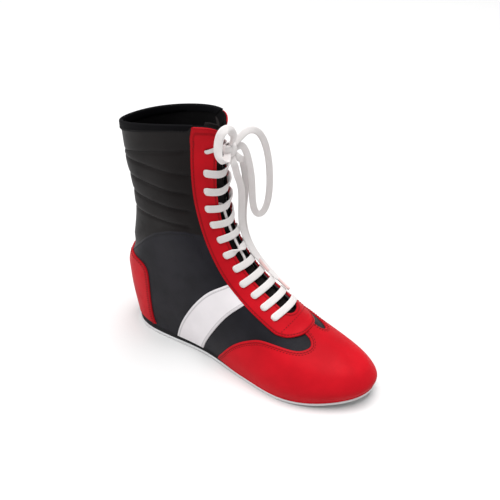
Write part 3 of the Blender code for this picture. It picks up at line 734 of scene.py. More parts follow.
def closed_shell(outer: Array, inner: Array, triangles: Array) -> tuple[Array, Array]:
    """A solid between two copies of a sheet, with a wall along each edge that has one triangle.

    Args:
        outer: Points of the outer copy.
        inner: Points of the inner copy.
        triangles: Triangles of the sheet.

    Returns:
        Points and triangles of the solid.
    """
    count = len(outer)
    edges = np.concatenate([triangles[:, [0, 1]], triangles[:, [1, 2]], triangles[:, [2, 0]]])
    code = edges[:, 0] * count + edges[:, 1]
    back = edges[:, 1] * count + edges[:, 0]
    rim = edges[~np.isin(code, back)]
    a, b = rim[:, 0], rim[:, 1]
    walls = np.concatenate([np.stack([b, a, a + count], -1), np.stack([b, a + count, b + count], -1)])
    return np.concatenate([outer, inner]), np.concatenate([triangles, triangles[:, ::-1] + count, walls])


def mesh_piece(
    name: str, points: Array, triangles: Array, materials: list[Material], **extra: Array
) -> Piece:
    """A mesh object from points in millimetres, turned to face outwards and shaded smooth.

    Args:
        name: Name of the piece.
        points: Points in millimetres from the heel.
        triangles: Three point numbers in each row.
        materials: Materials of the piece.
        extra: "material" gives each triangle's material number, other names a value or vector at each point.

    Returns:
        The object, linked to the scene and at the origin.
    """
    placed = (np.asarray(points) - MIDDLE) * MM
    corners = placed[triangles]
    if np.einsum("ij,ij->", corners[:, 0], np.cross(corners[:, 1], corners[:, 2])) < 0.0:
        triangles = triangles[:, ::-1]
    mesh = bpy.data.meshes.new(name)
    mesh.vertices.add(len(placed))
    mesh.vertices.foreach_set("co", placed.astype(np.float32).ravel())
    mesh.loops.add(3 * len(triangles))
    mesh.loops.foreach_set("vertex_index", triangles.astype(np.int32).ravel())
    mesh.polygons.add(len(triangles))
    mesh.polygons.foreach_set("loop_start", np.arange(0, 3 * len(triangles), 3, dtype=np.int32))
    if "material" in extra:
        mesh.polygons.foreach_set("material_index", extra.pop("material").astype(np.int32))
    for key, values in extra.items():
        kind = "FLOAT" if np.ndim(values) == 1 else "FLOAT_VECTOR"
        attribute = mesh.attributes.new(key, kind, "POINT")
        member = "value" if kind == "FLOAT" else "vector"
        attribute.data.foreach_set(member, np.asarray(values, np.float32).ravel())
    mesh.update(calc_edges=True)
    mesh.validate()
    mesh.shade_smooth()
    mesh.set_sharp_from_angle(angle=SHARP_ANGLE)
    for material in materials:
        mesh.materials.append(material)
    piece = bpy.data.objects.new(name, mesh)
    bpy.context.scene.collection.objects.link(piece)
    LOG.info("%s: %d triangles", name, len(triangles))
    return piece


def dress(piece: Piece, slot: Slot, *nodes: str) -> Piece:
    """Lets a piece ride on the boot, and hides the solids that it stands for.

    Args:
        piece: The piece.
        slot: Its material slot. Not used.
        nodes: The solids that it replaces.

    Returns:
        The piece.
    """
    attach(piece, BODY)
    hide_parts(*nodes)
    return piece


def distance_to_line(points: Array, line: Array) -> Array:
    """Shortest distance from each point to a line of straight steps, worked out in blocks of points.

    Args:
        points: The points, one in each row.
        line: Points of the line.

    Returns:
        A distance for each point.
    """
    a, step = line[:-1], np.diff(line, axis=0)
    best = np.full(len(points), np.inf)
    for start in range(0, len(points), 4000):
        block = points[start : start + 4000]
        away = block[:, None] - a[None]
        t = np.einsum("nmk,mk->nm", away, step) / np.maximum(np.einsum("mk,mk->m", step, step), 1e-9)
        near = away - np.clip(t, 0.0, 1.0)[..., None] * step[None]
        best[start : start + 4000] = np.sqrt(np.einsum("nmk,nmk->nm", near, near).min(1))
    return best


def signed_depth(points: Array, line: Array, inside: Array) -> Array:
    """Distance from each point to a line, below 0 where the point isn't inside."""
    away = distance_to_line(points.reshape(-1, points.shape[-1]), line)
    return np.where(inside, away, -away).reshape(points.shape[:-1])


def inside_polygon(x: Array, y: Array, polygon: Array) -> Array:
    """Whether points lie in a polygon: a level ray from such a point crosses an odd number of its sides.

    Args:
        x: First coordinates of the points.
        y: Second coordinates of the points.
        polygon: Corners of the polygon, one in each row.

    Returns:
        True or False for each point.
    """
    a, b = polygon, np.roll(polygon, -1, 0)
    x, y = x[:, None], y[:, None]
    straddles = (a[None, :, 1] > y) != (b[None, :, 1] > y)
    rise = np.where(b[:, 1] == a[:, 1], 1.0, b[:, 1] - a[:, 1])
    crossing = a[None, :, 0] + (y - a[None, :, 1]) / rise[None] * (b[:, 0] - a[:, 0])[None]
    return (straddles & (x < crossing)).sum(1) % 2 == 1


# Finishes


class NodeKit:
    """Short names for adding and joining the nodes of one shader tree."""

    def __init__(self, tree: bpy.types.NodeTree) -> None:
        """Takes the tree to add to."""
        self.tree = tree

    def add(
        self, kind: str, inputs: dict[str | int, object] | None = None, **settings: object
    ) -> bpy.types.Node:
        """A new node.

        Args:
            kind: Blender's name of the node type.
            inputs: Values or sockets for its inputs, by name or number.
            settings: Properties of the node.

        Returns:
            The node.
        """
        node = self.tree.nodes.new(kind)
        for name, value in settings.items():
            setattr(node, name, value)
        for name, value in (inputs or {}).items():
            if isinstance(value, Socket):
                self.link(value, node.inputs[name])
            else:
                node.inputs[name].default_value = value
        return node

    def link(self, start: Socket, end: Socket) -> None:
        """Joins an output to an input."""
        self.tree.links.new(start, end)

    def group(self, name: str, inputs: dict[str, object]) -> Sockets:
        """The outputs of a shared group by name, with the group's inputs given values or sockets."""
        return self.add("ShaderNodeGroup", node_tree=bpy.data.node_groups[name], inputs=inputs).outputs

    def noise(self, vector: object, scale: float, detail: float, rough: float = 0.5) -> Socket:
        """The value of a noise texture."""
        inputs = {"Vector": vector, "Scale": scale, "Detail": detail, "Roughness": rough}
        return self.add("ShaderNodeTexNoise", inputs).outputs["Fac"]

    def bump(self, shader: bpy.types.Node, height: object, strength: float, distance: float) -> None:
        """Raises a shader's surface by a height."""
        node = self.add("ShaderNodeBump", {"Height": height, "Strength": strength, "Distance": distance})
        self.link(node.outputs[0], shader.inputs["Normal"])

    def math(self, operation: str, a: object, b: object = 0.0, c: object = 0.0) -> Socket:
        """The output of a Math node."""
        return self.add("ShaderNodeMath", {0: a, 1: b, 2: c}, operation=operation).outputs[0]

    def ramp(self, value: object, low: float, high: float, start: float = 0.0, end: float = 1.0) -> Socket:
        """A value mapped smoothly from low..high to start..end."""
        inputs = {"Value": value, 1: low, 2: high, 3: start, 4: end}
        return self.add("ShaderNodeMapRange", inputs, interpolation_type="SMOOTHSTEP").outputs["Result"]

    def mix(self, factor: object, a: object, b: object) -> Socket:
        """Two colours mixed."""
        return self.add("ShaderNodeMix", {0: factor, 6: a, 7: b}, data_type="RGBA").outputs[2]


def new_group(
    name: str, inputs: tuple[str, ...], outputs: tuple[str, ...]
) -> tuple[NodeKit, Sockets, Sockets]:
    """An empty shader node group. A socket named Vector holds a vector, and any other one a value.

    Args:
        name: Name of the group.
        inputs: Names of its inputs.
        outputs: Names of its outputs.

    Returns:
        A kit for the group, the sockets that its inputs give, and the sockets that its outputs take.
    """
    group = bpy.data.node_groups.new(name, "ShaderNodeTree")
    for names, direction in ((inputs, "INPUT"), (outputs, "OUTPUT")):
        for key in names:
            kind = "NodeSocketVector" if key == "Vector" else "NodeSocketFloat"
            group.interface.new_socket(name=key, in_out=direction, socket_type=kind)
    kit = NodeKit(group)
    start, end = kit.add("NodeGroupInput"), kit.add("NodeGroupOutput")
    return kit, start.outputs, end.inputs


def leather_group() -> None:
    """Leather: small pebbles between fine creases, pores, and a slow change of tone."""
    kit, take, give = new_group("leather_grain", ("Vector", "Pebble"), ("Height", "Tone", "Wear"))
    where = take["Vector"]
    cells = kit.add("ShaderNodeTexVoronoi", {"Vector": where, "Scale": take["Pebble"]}, feature="F1")
    pebbles = kit.math("SUBTRACT", 1.0, cells.outputs["Distance"])
    kit.link(kit.math("MULTIPLY_ADD", kit.noise(where, 2400.0, 3.0), 0.45, pebbles), give["Height"])
    kit.link(kit.ramp(kit.noise(where, 26.0, 4.0, 0.55), 0.32, 0.68), give["Tone"])
    kit.link(kit.ramp(kit.noise(where, 95.0, 6.0, 0.7), 0.5, 0.72), give["Wear"])


def seam_group() -> None:
    """Painted shade of a sewn edge by the depth in from it: a darker rim where the edge folds over, and a
    darker pressed line and band where the stitches run.
    """
    kit, take, give = new_group("sewn_edge_shade", ("Depth", "Line"), ("Rim", "Groove", "Band"))
    off = kit.math("ABSOLUTE", kit.math("SUBTRACT", take["Depth"], take["Line"]))
    kit.link(kit.ramp(take["Depth"], 0.1, 1.1, 1.0, 0.0), give["Rim"])
    kit.link(kit.ramp(off, 0.2, 1.0, 1.0, 0.0), give["Groove"])
    kit.link(kit.ramp(take["Depth"], 2.2, 4.4, 1.0, 0.0), give["Band"])


def weave_group() -> None:
    """A flat woven lace: slanting yarns that meet in the middle, over ribs along the lace."""
    kit, take, give = new_group("lace_weave", ("Vector", "Yarn"), ("Height", "Shade"))
    turn = 2.0 * math.pi
    split = kit.add("ShaderNodeSeparateXYZ", {0: take["Vector"]})
    along = kit.math("DIVIDE", split.outputs["X"], take["Yarn"])
    across = kit.math("DIVIDE", split.outputs["Y"], take["Yarn"])
    slant = kit.math("MULTIPLY_ADD", kit.math("ABSOLUTE", across), 0.7, along)
    chevron = kit.math("SINE", kit.math("MULTIPLY", slant, turn))
    rib = kit.math("SINE", kit.math("MULTIPLY", across, turn))
    woven = kit.math("MULTIPLY", kit.math("ADD", chevron, 1.2), kit.math("ADD", rib, 1.6))
    height = kit.math("MULTIPLY_ADD", kit.noise(take["Vector"], 1.7, 4.0), 1.2, woven)
    kit.link(height, give["Height"])
    # Shade is painted shade: the weave's colour is darker where it is low, between the yarns.
    kit.link(kit.ramp(height, 0.6, 4.2), give["Shade"])


@dataclass(frozen=True)
class Finish:
    """A finish with a name, a colour and a roughness. Each kind adds its own detail."""

    name: str
    colour: tuple[float, float, float]
    rough: float = 0.5
    shine: float = 0.2

    def start(self) -> tuple[Material, NodeKit, bpy.types.Node]:
        """A material with a plain shader in this finish's colour.

        Returns:
            The material, a kit for its nodes, and its shader.
        """
        material = bpy.data.materials.new(self.name)
        material.use_nodes = True
        shader = material.node_tree.nodes["Principled BSDF"]
        shader.inputs["Base Color"].default_value = (*self.colour, 1.0)
        shader.inputs["Roughness"].default_value = self.rough
        shader.inputs["Specular IOR Level"].default_value = self.shine
        return material, NodeKit(material.node_tree), shader

    def rgba(self, factor: float = 1.0) -> tuple[float, float, float, float]:
        """The colour times a factor, with full alpha."""
        return tuple(min(1.0, c * factor) for c in self.colour) + (1.0,)

    def make(self) -> Material:
        """The finished material."""
        return self.start()[0]


@dataclass(frozen=True)
class Leather(Finish):
    """Grained leather with sewn edges. Depth from the edge is the piece's own attribute."""

    pebble: float = 900.0
    bump: float = 0.12
    dark: float = 0.8
    light: float = 1.12
    line: float = 2.6
    second: tuple[float, float, float] | None = None

    def make(self) -> Material:
        """Tone varies the colour and wear the roughness, painted shade darkens the sewn edge, and pebbles
        raise the surface.

        Returns:
            The material.
        """
        material, kit, shader = self.start()
        where = kit.add("ShaderNodeTexCoord").outputs["Object"]
        grain = kit.group("leather_grain", {"Vector": where, "Pebble": self.pebble})
        depth = kit.add("ShaderNodeAttribute", attribute_name="depth").outputs["Fac"]
        seam = kit.group("sewn_edge_shade", {"Depth": depth, "Line": self.line})
        colour = kit.mix(grain["Tone"], self.rgba(self.dark), self.rgba(self.light))
        if self.second:
            shaft = kit.add("ShaderNodeAttribute", attribute_name="shaft").outputs["Fac"]
            deep = (*[c * self.dark for c in self.second], 1.0)
            colour = kit.mix(shaft, colour, kit.mix(grain["Tone"], deep, (*self.second, 1.0)))
        # Painted shade: the band, the pressed line and the folded rim of the sewn edge are darkened.
        for name, share, shade in (("Band", 0.16, 0.45), ("Groove", 0.42, 0.3), ("Rim", 0.3, 0.55)):
            colour = kit.mix(kit.math("MULTIPLY", seam[name], share), colour, self.rgba(shade))
        kit.link(colour, shader.inputs["Base Color"])
        rough = kit.math("MULTIPLY_ADD", grain["Wear"], 0.1, self.rough - 0.03)
        kit.link(rough, shader.inputs["Roughness"])
        pressed = kit.math("MULTIPLY_ADD", seam["Groove"], -1.6, grain["Height"])
        kit.bump(shader, pressed, self.bump, 0.0004)
        return material


@dataclass(frozen=True)
class Woven(Finish):
    """Woven tape. Length along and across it is the piece's own attribute."""

    yarn: float = 1.1
    bump: float = 0.5

    def make(self) -> Material:
        """Yarns raise the surface, and painted shade darkens the gaps between them.

        Returns:
            The material.
        """
        material, kit, shader = self.start()
        where = kit.add("ShaderNodeAttribute", attribute_name="weave").outputs["Vector"]
        weave = kit.group("lace_weave", {"Vector": where, "Yarn": self.yarn})
        # Painted shade: darker colour in the gaps between the yarns.
        kit.link(kit.mix(weave["Shade"], self.rgba(0.82), self.rgba(1.05)), shader.inputs["Base Color"])
        kit.bump(shader, weave["Height"], self.bump, 0.00025)
        return material


@dataclass(frozen=True)
class Cloth(Finish):
    """Plain close fabric, for lining, tongue and binding."""

    thread: float = 1700.0
    bump: float = 0.35

    def make(self) -> Material:
        """Two crossed sets of fine ribs, with a slow change of tone.

        Returns:
            The material.
        """
        material, kit, shader = self.start()
        where = kit.add("ShaderNodeTexCoord").outputs["Object"]
        rib = {"Vector": where, "Scale": self.thread, "Distortion": 1.5}
        ribs = [kit.add("ShaderNodeTexWave", rib, bands_direction=way).outputs["Fac"] for way in ("X", "Z")]
        colour = kit.mix(kit.noise(where, 60.0, 4.0), self.rgba(0.7), self.rgba(1.4))
        kit.link(colour, shader.inputs["Base Color"])
        kit.bump(shader, kit.math("ADD", *ribs), self.bump, 0.0003)
        return material


@dataclass(frozen=True)
class Rubber(Finish):
    """Moulded rubber with fine pits, patches of dust and a ribbed tread underneath."""

    dust: tuple[float, float, float] = (0.5, 0.47, 0.43)

    def make(self) -> Material:
        """Pits raise the surface, dust tints it by a noise mask, and ribs show on the tread.

        Returns:
            The material.
        """
        material, kit, shader = self.start()
        where = kit.add("ShaderNodeTexCoord").outputs["Object"]
        mask = kit.math("MULTIPLY", kit.ramp(kit.noise(where, 120.0, 5.0, 0.65), 0.48, 0.75), 0.35)
        kit.link(kit.mix(mask, self.rgba(), (*self.dust, 1.0)), shader.inputs["Base Color"])
        tread = kit.add("ShaderNodeAttribute", attribute_name="tread").outputs["Fac"]
        rib = {"Vector": where, "Scale": 55.0, "Distortion": 0.0}
        ribs = kit.add("ShaderNodeTexWave", rib, wave_profile="TRI", bands_direction="DIAGONAL")
        pits = kit.noise(where, 1500.0, 2.0)
        height = kit.math("MULTIPLY_ADD", kit.math("MULTIPLY", ribs.outputs["Fac"], tread), 6.0, pits)
        kit.bump(shader, height, 0.35, 0.0004)
        return material


@dataclass
class Wardrobe:
    """All finishes of the boot, made once."""

    made: dict[str, Material] = field(default_factory=dict)

    def __post_init__(self) -> None:
        """Builds the shared groups, then each finish."""
        for build in (leather_group, seam_group, weave_group):
            build()
        finishes = (
            Leather("red_leather", (0.485, 0.006, 0.013), 0.5, 0.055, 1100.0, 0.1, dark=0.9, light=1.08),
            Leather("white_leather", (0.8, 0.765, 0.785), 0.5, 0.2, 1100.0, 0.1, dark=0.95, light=1.02),
            Leather(
                "black_leather", (0.011, 0.0105, 0.014), 0.5, 0.12, 800.0, 0.2, dark=0.75, light=1.25,
                second=(0.0075, 0.0055, 0.0055),
            ),
            Cloth("lining", (0.004, 0.0036, 0.004), 0.9, 0.08),
            Cloth("tongue_cloth", (0.009, 0.007, 0.007), 0.85, 0.12),
            Cloth("binding_tape", (0.0024, 0.0022, 0.003), 0.7, 0.05, thread=2600.0, bump=0.2),
            Cloth("insole_cloth", (0.012, 0.012, 0.012), 0.9, 0.1),
            Rubber("sole_rubber", (0.68, 0.68, 0.69), 0.55, 0.3),
            Rubber("midsole_rubber", (0.007, 0.007, 0.008), 0.55, 0.15, dust=(0.03, 0.028, 0.027)),
            Woven("lace_cotton", (0.84, 0.805, 0.795), 0.9, 0.1),
            Finish("red_thread", (0.2, 0.002, 0.005), 0.6, 0.15),
            Finish("white_thread", (0.66, 0.64, 0.66), 0.6, 0.2),
            Finish("black_thread", (0.012, 0.011, 0.011), 0.55, 0.15),
            Finish("aglet", (0.72, 0.5, 0.48), 0.3, 0.4),
        )
        for finish in finishes:
            self.made[finish.name] = finish.make()

    def __getitem__(self, name: str) -> Material:
        """A finish by name."""
        return self.made[name]


# Sewn pieces


@dataclass
class Stitching:
    """Rows of thread: each stitch is a short round bead that dips at both ends."""

    pitch: float = 3.1
    length: float = 2.3
    radius: float = 0.38
    rows: dict[str, list[tuple[Array, Array]]] = field(default_factory=dict)

    def add(self, colour: str, points: Array, outward: Array) -> None:
        """Adds a row of stitches along a line of points with the outward direction at each."""
        self.rows.setdefault(colour, []).append((points, outward))

    def build(self, wardrobe: Wardrobe) -> list[Piece]:
        """One piece for each colour of thread.

        A bead is three rings of six points between two end points. It is copied to even places along each
        line and turned to the line's run and outward direction.

        Args:
            wardrobe: Finishes.

        Returns:
            The pieces.
        """
        turn = np.arange(6) * np.pi / 3.0
        ring = np.column_stack([np.zeros(6), np.cos(turn), np.sin(turn)])
        steps = ((-0.36, 0.8, -0.25), (0.0, 1.0, 0.15), (0.36, 0.8, -0.25))
        shape = [ring * size + np.array([x, 0.0, dip]) for x, size, dip in steps]
        shape.append(np.array([[-0.5, 0.0, -0.8], [0.5, 0.0, -0.8]]))
        bead = np.concatenate(shape) * np.array([self.length, self.radius, self.radius])
        template = tube_triangles(len(steps), len(ring))
        pieces = []
        for colour, lines in self.rows.items():
            places, runs, outs = [], [], []
            for points, outward in lines:
                length = line_length(points)
                at = np.arange(0.5 * self.pitch, length[-1], self.pitch)
                run = np.gradient(points, axis=0)
                for found, values in ((places, points), (runs, run), (outs, outward)):
                    found.append(np.stack([np.interp(at, length, column) for column in values.T], -1))
            place, run = np.concatenate(places), unit(np.concatenate(runs))
            out = np.concatenate(outs)
            out = unit(out - run * np.einsum("ij,ij->i", out, run)[:, None])
            axes = np.stack([run, np.cross(out, run), out], 1)
            points = place[:, None] + np.einsum("bk,nkj->nbj", bead, axes)
            tri = (template[None] + (len(bead) * np.arange(len(place)))[:, None, None]).reshape(-1, 3)
            piece = mesh_piece(f"stitches_{colour}", points.reshape(-1, 3), tri, [wardrobe[colour]])
            pieces.append(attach(piece, BODY))
        return pieces


@dataclass
class SewnPanel:
    """A leather piece on the form: even in thickness, with a folded round edge."""

    name: str
    finish: str
    slot: Slot
    nodes: tuple[str, ...]
    lift: float = 0.6
    thick: float = 0.9
    round_over: float = 1.3

    def heights(self, depth: Array) -> Array:
        """Height over the lift: a quarter circle from the edge inwards, then level."""
        t = np.clip(depth / self.round_over, 0.0, 1.0)
        return self.thick * (0.25 + 0.75 * np.sqrt(1.0 - (1.0 - t) ** 2))

    def build(self, last: Last, wardrobe: Wardrobe, sheet: Sheet) -> Piece:
        """Makes the panel from a cut sheet.

        Args:
            last: The foot form.
            wardrobe: Finishes.
            sheet: The panel's sheet.

        Returns:
            The piece.
        """
        outer = last.skin(sheet.u, sheet.v, self.lift + sheet.raised + self.heights(sheet.depth))
        inner = last.skin(sheet.u, sheet.v, -0.3)
        points, tri = closed_shell(outer, inner, sheet.triangles)
        piece = mesh_piece(self.name, points, tri, [wardrobe[self.finish]], depth=np.tile(sheet.shade, 2))
        return dress(piece, self.slot, *self.nodes)

    def line(self, last: Last, u: Array, v: Array, raised: Array | float = 0.0) -> tuple[Array, Array]:
        """Points on top of the panel along a line, and the outward direction there."""
        return last.skin(u, v, self.lift + self.thick + raised + 0.05), last.normals(u, v)

    def stitch_edge(
        self, last: Last, thread: Stitching, u: Array, v: Array, insets: tuple[float, ...]
    ) -> None:
        """Adds stitch rows along an edge line, on both sides of the foot.

        Args:
            last: The foot form.
            thread: Stitch rows.
            u: Section numbers along the edge.
            v: Rail numbers along the edge.
            insets: Distance of each row to the left of the edge's run.
        """
        for inset in insets:
            row_u, row_v = last.inset(u, v, inset)
            for side in (1.0, -1.0):
                thread.add("red_thread", *self.line(last, side * row_u, row_v))


@dataclass
class Assembly:
    """A sub-assembly of the boot, with the form, chart, finishes and stitch rows that all of them share."""

    last: Last
    chart: ThroatChart
    wardrobe: Wardrobe
    thread: Stitching


@dataclass
class Upper(Assembly):
    """The black wall: quarters and quilted shaft in one, with a fabric lining."""

    low_rows: int = 21
    seam_rows: tuple[float, ...] = (0.0, 0.03, 0.07, 0.13, 0.22, 0.35, 0.5, 0.65, 0.78, 0.87, 0.93, 0.97)
    edge_inset: float = 2.4

    def _crossing(self, u: Array, level: Callable[[Array], Array]) -> Array:
        """Rail number at which each section reaches a height, or its top where it doesn't.

        Args:
            u: Section numbers in a row.
            level: The height at a length from the heel.

        Returns:
            The rail numbers.
        """
        v = np.linspace(0.0, self.last.top, 321)
        wall = self.last.form(u[:, None], v[None, :])
        above = wall[..., 2] - level(wall[..., 0])
        return np.array([np.interp(0.0, row, v) for row in above])

    def _levels(self, drop: float) -> list[Callable[[Array], Array]]:
        """Heights of the arched edge, less a drop, and of the quilting seams, as functions of the length."""
        seams = [lambda x, k=k: RELIEF.seam_heights(x)[k] for k in range(len(RELIEF.quilt_heights) + 1)]
        return [lambda x: RELIEF.arch_height(x) - drop, *seams]

    def _rows(self, u: Array, top: Array) -> Array:
        """Rail numbers of the wall's grid.

        Behind the facing the rows follow the arched edge and the seams and lie closest beside them. In front
        of it they are even.

        Args:
            u: Section numbers of the columns.
            top: Rail number at which each column ends.

        Returns:
            A row of rail numbers for each section.
        """
        levels = np.stack([self._crossing(u, level) for level in self._levels(0.0)], 1)
        count = levels.shape[1]
        room = 0.02 * np.arange(count, 0, -1)
        levels = np.minimum(levels, top[:, None] - room) + 0.001 * np.arange(count)
        levels = np.maximum.accumulate(levels, axis=1)
        levels = np.column_stack([np.zeros(len(u)), levels, top])
        low = 1.0 - (1.0 - np.linspace(0.0, 1.0, self.low_rows, endpoint=False)) ** 1.5
        seams = [k + np.array(self.seam_rows) for k in range(1, count + 1)]
        steps = np.concatenate([low, *seams, [count + 1.0]])
        first = np.minimum(steps.astype(int), count)
        share = steps - first
        fitted = levels[:, first] * (1.0 - share) + levels[:, first + 1] * share
        even = top[:, None] * np.linspace(0.0, 1.0, len(steps))
        behind = ramp(8.0, 9.3, u)[:, None]
        return even * (1.0 - behind) + fitted * behind

    def build(self) -> Piece:
        """Makes the wall on a grid of sections and heights, with the throat left open.

        Each section runs from the sole edge to the ridge, the throat's edge or the collar.

        Returns:
            The piece.
        """
        edge = self.chart.throat_edge()
        last, start = self.last, self.last.throat_start
        u = np.unique(np.concatenate([np.linspace(0, last.half, 181), start + np.linspace(0.0, 0.45, 19)]))
        top = np.where(u <= start, last.top, np.interp(u, edge[:, 0], edge[:, 1], right=last.top))
        grid_v = self._rows(u, top)
        grid_u = np.repeat(u[:, None], grid_v.shape[1], 1)
        sheet = Sheet.grid(grid_u, grid_v, np.full(grid_u.shape, 99.0)).mirrored().welded(last)
        base = last.form(sheet.u, sheet.v)
        outer = last.skin(sheet.u, sheet.v, 0.0)
        inner = last.skin(sheet.u, sheet.v, -last.wall - 0.4 - np.minimum(RELIEF.height(base), 0.0))
        points, tri = closed_shell(outer, inner, sheet.triangles)
        shaft = ramp(-0.2, 1.2, base[:, 2] - RELIEF.arch_height(base[:, 0]))
        material = np.zeros(len(tri), int)
        material[len(sheet.triangles) :] = 1
        finishes = [self.wardrobe["black_leather"], self.wardrobe["lining"]]
        values = {"material": material, "depth": np.tile(sheet.depth, 2), "shaft": np.tile(shaft, 2)}
        piece = mesh_piece("upper_wall", points, tri, finishes, **values)
        self._quilt()
        return dress(piece, Slot.UPPER, "upper")

    def _quilt(self) -> None:
        """Stitch rows along the quilting seams and inside the quarter's arched edge, up to the facing.
        """
        last = self.last
        u = np.linspace(9.2, last.half, 200)
        for level in self._levels(self.edge_inset):
            v = self._crossing(u, level)
            keep = (v < last.top - 0.05) & (RELIEF.ahead(last.form(u, v)) < 0.0)
            for side in (1.0, -1.0):
                line_u, line_v = side * u[keep], v[keep]
                line = last.skin(line_u, line_v, 0.15)
                self.thread.add("black_thread", line, last.normals(line_u, line_v))


@dataclass
class ToeCap(Assembly):
    """The red toe cap. It sweeps back along the sole, round both black lobes, and up to the facing's tab."""

    edge: Table = (
        (6.52, -1.0), (6.48, 5.0), (6.3, 15.0), (5.95, 33.5), (5.42, 46.5), (4.92, 51.2), (4.15, 51.7),
        (3.63, 52.7), (3.37, 56.0), (3.27, 59.9), (3.33, 64.4), (3.53, 69.5), (3.75, 72.7), (3.95, 74.7),
    )
    under_tab: float = 3.95
    over_wedge: float = 2.2
    edge_scale: tuple[float, float] = (25.0, 1.0)
    stitch_rows: tuple[float, ...] = (-2.3, -4.3)
    panel: SewnPanel = field(
        default_factory=lambda: SewnPanel("toe_cap_leather", "red_leather", Slot.RED, ("toe_cap",))
    )

    def build(self) -> Piece:
        """Cuts the cap out of the form along its edge and mirrors it. Its foot reaches down over the wedge.

        Depth is the distance to the edge in space. Its sign comes from whether a point, given by its section
        number and its length up the wall, lies in the black lobe.

        Returns:
            The piece.
        """
        scale = np.array(self.edge_scale)
        table = smooth_line(np.array(self.edge) * scale, 260) / scale
        line_u, line_v = table[:, 0], self.last.v_at_rise(table[:, 0], table[:, 1])
        u = np.unique(np.concatenate([np.linspace(0.0, 3.0, 46), np.linspace(3.0, 6.7, 96)]))
        v = np.concatenate([[-1.0, -0.5], np.linspace(0.0, self.last.top, 62)])
        grid_u, grid_v = np.meshgrid(u, v, indexing="ij")
        grid_v = grid_v * np.where(grid_v < 0.0, self.over_wedge * (1.0 - ramp(5.6, 6.5, grid_u)), 1.0)
        points = self.last.form(grid_u, grid_v)
        rise = row_lengths(points) + grid_v[:, :1]
        lobe = np.vstack([table, [(self.under_tab, 400.0), (7.5, 400.0), (7.5, -2.0)]])
        outside = inside_polygon(grid_u.ravel(), rise.ravel(), lobe)
        tip = self.last.form(np.full(12, self.under_tab), np.linspace(line_v[-1], self.last.top, 12))
        line = np.vstack([self.last.form(line_u, line_v), tip])
        depth = signed_depth(points, line, ~outside)
        sheet = Sheet.grid(grid_u, grid_v, depth).cut().mirrored().welded(self.last)
        keep = (table[:, 1] > 3.0) & (line_u < 6.5) & (table[:, 1] < 74.2)
        self.panel.stitch_edge(self.last, self.thread, line_u[keep], line_v[keep], self.stitch_rows)
        return self.panel.build(self.last, self.wardrobe, sheet)


